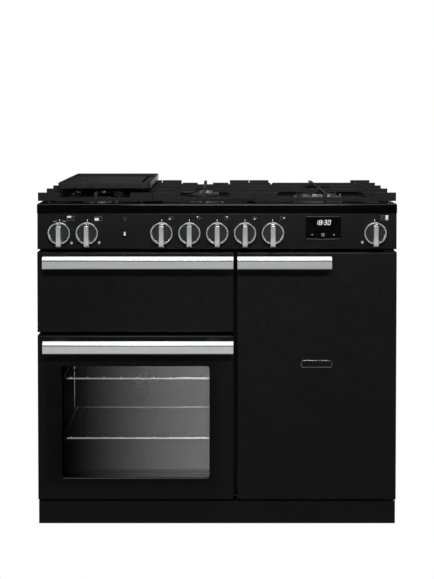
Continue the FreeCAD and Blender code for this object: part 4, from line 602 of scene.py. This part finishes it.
def controls():
    """All knobs, the light button with two glowing dots as a painted highlight, neon lenses and the clock's
    bezel.
    """
    for node in KNOBS:
        knob_look(node)
    dressed("light_button", "dial", 0.6)
    mark = FrontPrint(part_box("light_button")[0].y)
    middle = middle_of("light_button") / MM
    for rise, radius in BUTTON_HIGHLIGHT_DOTS:
        mark.dot(middle.x, middle.z + rise, radius)
    mark.finished("light_button_mark", "ink", BODY_OF["light_button"])
    dressed("clock_module", "display", 0.4)
    dressed("lamp_and_indicator_lenses", "lens", 0.3)


# ================================================================ marks on the fascia, in millimetres
# Rises are counted from the middle of the knobs.
POINTER_RISE = 34.5
POINTER_SIZE = (1.6, 5.4)
DASHES_PER_SIDE = 3
DASH_START = 9.0
DASH_PITCH = 3.6
DASH_RISE = 33.0
DASH_FALL = 0.8
DASH_SIZE = (2.4, 1.1)
DASH_TURN = 12
OVEN_ICONS = {
    # shift from the knob, rise and the oven that is filled in
    "knob_grill": (20.5, 33.5, "upper"),
    "knob_main_oven": (20.0, 33.5, "lower"),
    "knob_tall_oven": (16.5, 35.5, "tall"),
}
ICON_BOXES = {
    # left, right, bottom and top of each oven in the pictogram
    "upper": (0.0, 11.5, 8.4, 13.3),
    "lower": (0.0, 11.5, 0.0, 7.4),
    "tall": (13.4, 20.6, 0.0, 13.3),
}
ICON_LINE = 1.0
BURNER_SHIFT = 27.0
BURNER_RISE = 41.5
BURNER_PLACES = ((-5, -3), (-5, 3), (0, 3), (0, -3), (5, 0))
BURNER_LIT = 2.0
BURNER_UNLIT = 1.6
BURNER_LINE = 0.9
BULB_RISE = 39.5
BULB_RADIUS = 3.9
BULB_LINE = 0.8
BULB_FOOT = ((34.6, 3.0), (33.0, 2.0))


def panel_print():
    """Pointer marks, oven and burner pictograms and the lamp symbol on the fascia."""
    white = FrontPrint(FASCIA_Y)
    faint = FrontPrint(FASCIA_Y)
    z = KNOB_Z / MM
    knobs = {node: middle_of(node).x / MM for node in KNOBS}
    for x in knobs.values():
        white.bar(x, z + POINTER_RISE, *POINTER_SIZE)
    grill_dashes(white, knobs["knob_grill"], z + DASH_RISE)
    for node, (shift, rise, lit) in OVEN_ICONS.items():
        oven_icon(white, faint, knobs[node] + shift, z + rise, lit)
    for number, lit in enumerate(BURNER_PLACES, 1):
        burner_icon(white, faint, knobs[f"knob_gas_{number}"] + BURNER_SHIFT, z + BURNER_RISE, lit)
    bulb_icon(faint, middle_of("light_button").x / MM, z)
    # the white marks use the glowing ink, a painted highlight
    white.finished("panel_marks", "ink", "root")
    faint.finished("panel_outlines", "faint_ink", "root")


def grill_dashes(white, x, z):
    """Falling dashes on both sides of the grill knob's pointer mark."""
    for side in (-1, 1):
        for step in range(DASHES_PER_SIDE):
            out = DASH_START + DASH_PITCH * step
            white.bar(x + side * out, z - DASH_FALL * step, *DASH_SIZE, -side * DASH_TURN)


def oven_icon(white, faint, x, z, lit):
    """Grill over main oven beside the tall oven, with the chosen one filled in."""
    for name, (left, right, bottom, top) in ICON_BOXES.items():
        if name == lit:
            white.bar(x + (left + right) / 2, z + (bottom + top) / 2, right - left, top - bottom)
        else:
            faint.frame(x + left, x + right, z + bottom, z + top, ICON_LINE)


def burner_icon(white, faint, x, z, lit):
    """The five burners as circles, with the chosen one filled in."""
    for dx, dz in BURNER_PLACES:
        if (dx, dz) == lit:
            white.dot(x + dx, z + dz, BURNER_LIT)
        else:
            faint.ring(x + dx, z + dz, BURNER_UNLIT, BURNER_LINE)


def bulb_icon(faint, x, z):
    """A light bulb over the light button."""
    faint.ring(x, z + BULB_RISE, BULB_RADIUS, BULB_LINE)
    for rise, width in BULB_FOOT:
        faint.bar(x, z + rise, width, BULB_LINE)


# ================================================================ clock, in millimetres
# Places are counted from the middle and the lower edge of the clock's glass.
SEGMENTS = {"1": "bc", "3": "abcdg", "8": "abcdefg", "0": "abcdef"}
CLOCK_DIGITS = ((-19.5, "1"), (-8.9, "8"), (4.3, "3"), (15.0, "0"))
DIGIT_RISE = 42.2
DIGIT_HALF_WIDTH = 3.2
DIGIT_HEIGHT = 12.5
DIGIT_LINE = 1.0
SEGMENT_GAP = 0.35
SLANT = 0.16
COLON_X = -2.5
COLON_HEIGHTS = (0.36, 0.68)  # shares of the digits' height
COLON_RADIUS = 0.9
SYMBOL_RISE = 14.8
SIGN_LENGTH = 4.6
SIGN_LINE = 1.0
MINUS_X = -31.0
PLUS_X = 29.0
DIAL_X = -1.0
DIAL_RADIUS = 4.3
DIAL_LINE = 0.8
DIAL_HANDS = ((0.0, 1.4, 0.8, 2.8), (1.1, 0.0, 2.2, 0.8))
# the pale strip along the clock's curved lower lip, a painted highlight
LIP_HIGHLIGHT_STEPS = 24
LIP_HIGHLIGHT_MARGIN = 2.5
LIP_HIGHLIGHT_RISE = 2.4
LIP_HIGHLIGHT_CURVE = 1.4
LIP_HIGHLIGHT_LINE = 1.5


def clock_face():
    """Slanted seven-segment digits, three touch symbols and a pale curved strip on the lower lip, a painted
    highlight.
    """
    low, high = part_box("clock_module")
    middle = (low.x + high.x) / 2 / MM
    bottom = low.z / MM
    clock_digits(FrontPrint(low.y), middle, bottom + DIGIT_RISE)
    clock_symbols(FrontPrint(low.y), middle, bottom + SYMBOL_RISE)
    # painted highlight on the curved lower lip
    lip = FrontPrint(low.y)
    width = (high.x - low.x) / MM - 2 * LIP_HIGHLIGHT_MARGIN
    for i in range(LIP_HIGHLIGHT_STEPS):
        u = (i + 0.5) / LIP_HIGHLIGHT_STEPS * 2 - 1
        lip.bar(middle + u * width / 2, bottom + LIP_HIGHLIGHT_RISE + LIP_HIGHLIGHT_CURVE * u * u, width / LIP_HIGHLIGHT_STEPS, LIP_HIGHLIGHT_LINE)
    lip.finished("clock_lip", "faint_ink", "root")


def clock_digits(face, middle, base):
    """The lit time with its colon."""
    for shift, digit in CLOCK_DIGITS:
        seven_segments(face, middle + shift, base, SEGMENTS[digit])
    for share in COLON_HEIGHTS:
        rise = DIGIT_HEIGHT * share
        face.dot(middle + COLON_X + SLANT * rise, base + rise, COLON_RADIUS)
    face.finished("clock_digits", "digit", "root")


def clock_symbols(face, middle, z):
    """Minus, plus and a small clock dial with its two hands."""
    face.bar(middle + MINUS_X, z, SIGN_LENGTH, SIGN_LINE)
    face.bar(middle + PLUS_X, z, SIGN_LENGTH, SIGN_LINE)
    face.bar(middle + PLUS_X, z, SIGN_LINE, SIGN_LENGTH)
    face.ring(middle + DIAL_X, z, DIAL_RADIUS, DIAL_LINE)
    for dx, dz, width, height in DIAL_HANDS:
        face.bar(middle + DIAL_X + dx, z + dz, width, height)
    face.finished("clock_symbols", "soft_ink", "root")


def seven_segments(face, x, z, names):
    """One digit round x, standing on z, from its lit segments."""
    w, h = DIGIT_HALF_WIDTH, DIGIT_HEIGHT
    ends = {
        "a": ((-w, h), (w, h)),
        "b": ((w, h), (w, h / 2)),
        "c": ((w, h / 2), (w, 0)),
        "d": ((-w, 0), (w, 0)),
        "e": ((-w, h / 2), (-w, 0)),
        "f": ((-w, h), (-w, h / 2)),
        "g": ((-w, h / 2), (w, h / 2)),
    }
    for name in names:
        start, end = (Vector((x + u + SLANT * v, z + v)) for u, v in ends[name])
        along = (end - start).normalized()
        start = start + along * SEGMENT_GAP
        end = end - along * SEGMENT_GAP
        side = Vector((-along.y, along.x)) * DIGIT_LINE / 2
        tip = along * DIGIT_LINE / 2
        outline = (start, start + tip - side, end - tip - side, end, end - tip + side, start + tip + side)
        face.shape([tuple(point) for point in outline])


# ================================================================ badge plate, painted shade on the handles and painted highlight on the window, in millimetres
BADGE_X = (232.0, 318.0)
BADGE_Z = (452.0, 472.5)
BADGE_RADIUS = 6.0
BADGE_PROUD = 2.0
BADGE_RIM = 1.8
BADGE_CHAMFER = 0.5
BADGE_SINK = 0.7
CORNER_STEPS = 6
GROOVE_SHADE_DROP = 10.6  # from the top of a handle to the middle of its dark line, the painted shade in the groove under the bevel
GROOVE_SHADE_HEIGHT = 2.4
GROOVE_SHADE_MARGIN = 0.3
GROOVE_SHADE_SINK = 0.1
WINDOW_X = (-429.0, -21.0)
WINDOW_BOTTOM = 143.5
# the painted highlight along the window's lower edge
WINDOW_HIGHLIGHT_DROP = 0.9
WINDOW_HIGHLIGHT_HEIGHT = 1.4
WINDOW_HIGHLIGHT_MARGIN = 3.0


def rounded_outline(x, z, radius):
    """Points round a box with rounded corners, anticlockwise from the front."""
    points = []
    corners = ((x[1], z[0], -90), (x[1], z[1], 0), (x[0], z[1], 90), (x[0], z[0], 180))
    for cx, cz, start in corners:
        mx = cx - radius if cx == x[1] else cx + radius
        mz = cz - radius if cz == z[1] else cz + radius
        for i in range(CORNER_STEPS + 1):
            a = math.radians(start + 90 * i / CORNER_STEPS)
            points.append((mx + radius * math.cos(a), mz + radius * math.sin(a)))
    return points


def badge():
    """A bare badge plate on the tall door: plated rim, dark field and no lettering."""
    build = bmesh.new()
    outer = rounded_outline(BADGE_X, BADGE_Z, BADGE_RADIUS)
    inner_x = (BADGE_X[0] + BADGE_RIM, BADGE_X[1] - BADGE_RIM)
    inner_z = (BADGE_Z[0] + BADGE_RIM, BADGE_Z[1] - BADGE_RIM)
    inner = rounded_outline(inner_x, inner_z, BADGE_RADIUS - BADGE_RIM)
    levels = (
        (outer, 0.0),
        (outer, BADGE_PROUD - BADGE_CHAMFER),
        (inner, BADGE_PROUD),
        (inner, BADGE_PROUD - BADGE_SINK),
    )
    rows = []
    for points, proud in levels:
        y = TALL_DOOR_Y - proud * MM
        rows.append([build.verts.new((x * MM, y, z * MM)) for x, z in points])
    for first, second in zip(rows, rows[1:]):
        for i in range(len(first)):
            j = (i + 1) % len(first)
            build.faces.new((first[i], first[j], second[j], second[i]))
    field = build.faces.new(rows[-1])
    field.material_index = 1
    bmesh.ops.recalc_face_normals(build, faces=build.faces)
    plate = from_bmesh("badge_plate", build)
    SCENE.collection.objects.link(plate)
    painted(plate, "chrome", "satin")
    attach(plate, "tall_door")


def handle_groove_shades():
    """Painted shade: a dark strip where the groove between the bright bevel and the brushed face of each bar
    lies in shade.
    """
    for node in HANDLES:
        low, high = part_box(node)
        groove_shade = FrontPrint(low.y + GROOVE_SHADE_SINK * MM)
        width = (high.x - low.x) / MM - 2 * GROOVE_SHADE_MARGIN
        groove_shade.bar((low.x + high.x) / 2 / MM, high.z / MM - GROOVE_SHADE_DROP, width, GROOVE_SHADE_HEIGHT)
        # the knob dial's black finish, here used as painted shade in the groove
        groove_shade.finished(f"{node}_seam", "dial", BODY_OF[node])


def painted_window_highlight():
    """Painted highlight: a pale strip along the lower edge of the oven window, where the edge catches the
    light.
    """
    edge = FrontPrint(DOOR_Y)
    width = WINDOW_X[1] - WINDOW_X[0] - 2 * WINDOW_HIGHLIGHT_MARGIN
    edge.bar(sum(WINDOW_X) / 2, WINDOW_BOTTOM - WINDOW_HIGHLIGHT_DROP, width, WINDOW_HIGHLIGHT_HEIGHT)
    edge.finished("window_edge", "faint_ink", "main_door")


# ================================================================ room, light and camera
OVEN_MIDDLE_X = (CAVITY_LOW.x + CAVITY_HIGH.x) / 2
OVEN_LAMP = Vector((-0.07, CAVITY_LOW.y + 0.03, CAVITY_HIGH.z - 0.012))
SHELF_LAMP = Vector((OVEN_MIDDLE_X, CAVITY_LOW.y + 0.004, 0.32))
LAMPS = (
    # name, place, target, width, height, watts and the pieces that it lights, where not all
    ("key", (0.15, -2.7, 2.15), (0.1, -0.28, 0.7), 1.6, 0.35, 34.0, ()),
    ("top", (0, -1.3, 2.9), (0, -0.3, 0.7), 2.4, 0.8, 16.0, ()),
    ("left", (-2.4, -0.7, 1.5), (0, 0, 0.6), 0.5, 1.6, 5.0, ()),
    ("right", (2.5, -0.8, 1.5), (0, 0, 0.6), 0.5, 1.6, 5.0, ()),
    ("rear", (0.3, 2.8, 0.55), (0, 0.3, 0.5), 1.8, 0.9, 16.0, ()),
    ("bar_light", (0, -1.1, 0.46), (0, -0.3, 0.46), 2.2, 0.88, 3.3, ("handle_look", "_grip", "_ring")),
    ("hob_light", (0.4, 2.4, 1.5), (0, 0, 0.9), 2.4, 0.5, 1.8, ("pan_support", "griddle_look", "burner_")),
    ("oven_lamp", OVEN_LAMP, (-0.1, 0.1, 0.2), 0.10, 0.03, 0.08, ()),
    ("shelf_light", SHELF_LAMP, SHELF_LAMP + Vector((0, 1, 0)), 0.4, 0.3, 0.16, ("oven_shelves",)),
)
SURROUND = (0.03, 0.03, 0.032, 1)
FLOOR_GREY = (0.25, 0.25, 0.25, 1)
FLOOR_SIZE = 40.0
FLOOR_ROUGHNESS = 0.8
FLOOR_DROP = 0.5 * MM
WHITE = (1, 1, 1, 1)


def room():
    """A pale floor, a white surround for the camera and soft studio lamps."""
    world = bpy.data.worlds.new("studio")
    SCENE.world = world
    world.use_nodes = True
    tree = world.node_tree
    seen = tree.nodes.new("ShaderNodeBackground")
    seen.inputs["Color"].default_value = WHITE
    around = tree.nodes["Background"]
    around.inputs["Color"].default_value = SURROUND
    camera_sees(tree, seen.outputs[0], around.outputs[0], tree.nodes["World Output"])
    floor()
    front_card()
    for *settings, receivers in LAMPS:
        lamp = softbox(*settings)
        if receivers:
            only_for(lamp, pieces_named(*receivers))


def camera_sees(tree, seen, usual, surface):
    """Shows one shader to the camera and the usual one to every other ray."""
    rays = tree.nodes.new("ShaderNodeLightPath")
    mix = tree.nodes.new("ShaderNodeMixShader")
    tree.links.new(rays.outputs["Is Camera Ray"], mix.inputs["Fac"])
    tree.links.new(usual, mix.inputs[1])
    tree.links.new(seen, mix.inputs[2])
    tree.links.new(mix.outputs["Shader"], surface.inputs["Surface"])


def pieces_named(*parts):
    """The shown pieces whose names hold any of the given parts."""
    return [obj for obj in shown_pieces() if any(part in obj.name for part in parts)]


def front_card():
    """A one-sided reflector that only the door's glasses see, brighter to the right."""
    centre = (sum(CARD_X) / 2, CARD_Y, sum(CARD_Z) / 2)
    bpy.ops.mesh.primitive_plane_add(size=1.0, location=centre, rotation=(math.radians(-90), 0, 0))
    card = bpy.context.object
    card.name = "front_card"
    card.scale = (CARD_X[1] - CARD_X[0], CARD_Z[1] - CARD_Z[0], 1)
    for ray in ("camera", "diffuse", "volume_scatter", "shadow"):
        setattr(card, f"visible_{ray}", False)
    card.data.materials.append(card_light())
    only_for(card, pieces_named("oven_glasses"))
    card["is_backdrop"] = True


def card_light():
    """Light that grows along X on the side that faces the door, and nothing on the other side."""
    material = bpy.data.materials.new("card_light")
    material.use_nodes = True
    tree = material.node_tree
    tree.nodes.remove(tree.nodes["Principled BSDF"])
    surface = tree.nodes.new("ShaderNodeNewGeometry")
    place = tree.nodes.new("ShaderNodeSeparateXYZ")
    tree.links.new(surface.outputs["Position"], place.inputs["Vector"])
    ramp = tree.nodes.new("ShaderNodeMapRange")
    ramp.interpolation_type = "SMOOTHSTEP"
    ramp.inputs["From Min"].default_value = CARD_DARK_X
    ramp.inputs["From Max"].default_value = CARD_BRIGHT_X
    ramp.inputs["To Max"].default_value = CARD_STRENGTH
    tree.links.new(place.outputs["X"], ramp.inputs["Value"])
    lit = tree.nodes.new("ShaderNodeEmission")
    tree.links.new(ramp.outputs["Result"], lit.inputs["Strength"])
    clear = tree.nodes.new("ShaderNodeBsdfTransparent")
    one_sided = tree.nodes.new("ShaderNodeMixShader")
    tree.links.new(surface.outputs["Backfacing"], one_sided.inputs["Fac"])
    tree.links.new(lit.outputs["Emission"], one_sided.inputs[1])
    tree.links.new(clear.outputs["BSDF"], one_sided.inputs[2])
    tree.links.new(one_sided.outputs["Shader"], tree.nodes["Material Output"].inputs["Surface"])
    return material


def floor():
    """The plain pale floor, which the camera sees as white."""
    bpy.ops.mesh.primitive_plane_add(size=FLOOR_SIZE, location=(0, 0, -FLOOR_DROP))
    plane = bpy.context.object
    plane.name = "floor"
    material = bpy.data.materials.new("pale_floor")
    material.use_nodes = True
    tree = material.node_tree
    shader = tree.nodes["Principled BSDF"]
    shader.inputs["Base Color"].default_value = FLOOR_GREY
    shader.inputs["Roughness"].default_value = FLOOR_ROUGHNESS
    lit = tree.nodes.new("ShaderNodeEmission")
    lit.inputs["Color"].default_value = WHITE
    camera_sees(tree, lit.outputs[0], shader.outputs[0], tree.nodes["Material Output"])
    plane.data.materials.append(material)
    plane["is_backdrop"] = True


def only_for(source, receivers):
    """Limits what a lamp or card lights to some pieces."""
    group = bpy.data.collections.new(f"{source.name}_receivers")
    for piece in receivers:
        group.objects.link(piece)
    source.light_linking.receiver_collection = group


def softbox(name, place, target, width, height, power):
    """A rectangular lamp that faces a target and stays out of the picture."""
    lamp = bpy.data.lights.new(name, "AREA")
    lamp.shape = "RECTANGLE"
    lamp.size = width
    lamp.size_y = height
    lamp.energy = power
    obj = bpy.data.objects.new(name, lamp)
    SCENE.collection.objects.link(obj)
    obj.location = place
    obj.rotation_euler = (Vector(target) - Vector(place)).to_track_quat("-Z", "Y").to_euler()
    obj.visible_camera = False
    obj.visible_transmission = False
    return obj


def camera():
    """The photograph's viewpoint: high, almost level, with the frame shifted down."""
    lens = bpy.data.cameras.new("photo_camera")
    lens.sensor_fit = "VERTICAL"
    lens.sensor_height = CAMERA_SENSOR_HEIGHT
    lens.sensor_width = CAMERA_SENSOR_WIDTH
    lens.lens = CAMERA_LENS
    lens.shift_y = CAMERA_SHIFT
    obj = bpy.data.objects.new("photo_camera", lens)
    SCENE.collection.objects.link(obj)
    obj.location = (0, DOOR_Y - CAMERA_DISTANCE, CAMERA_HEIGHT)
    obj.rotation_euler = (math.radians(90 - CAMERA_PITCH), 0, 0)
    SCENE.camera = obj


SCENE.view_settings.view_transform = "Standard"
casing()
hob()
gas_train()
ovens()
doors()
grill()
handles()
controls()
panel_print()
clock_face()
badge()
handle_groove_shades()
painted_window_highlight()
room()
camera()
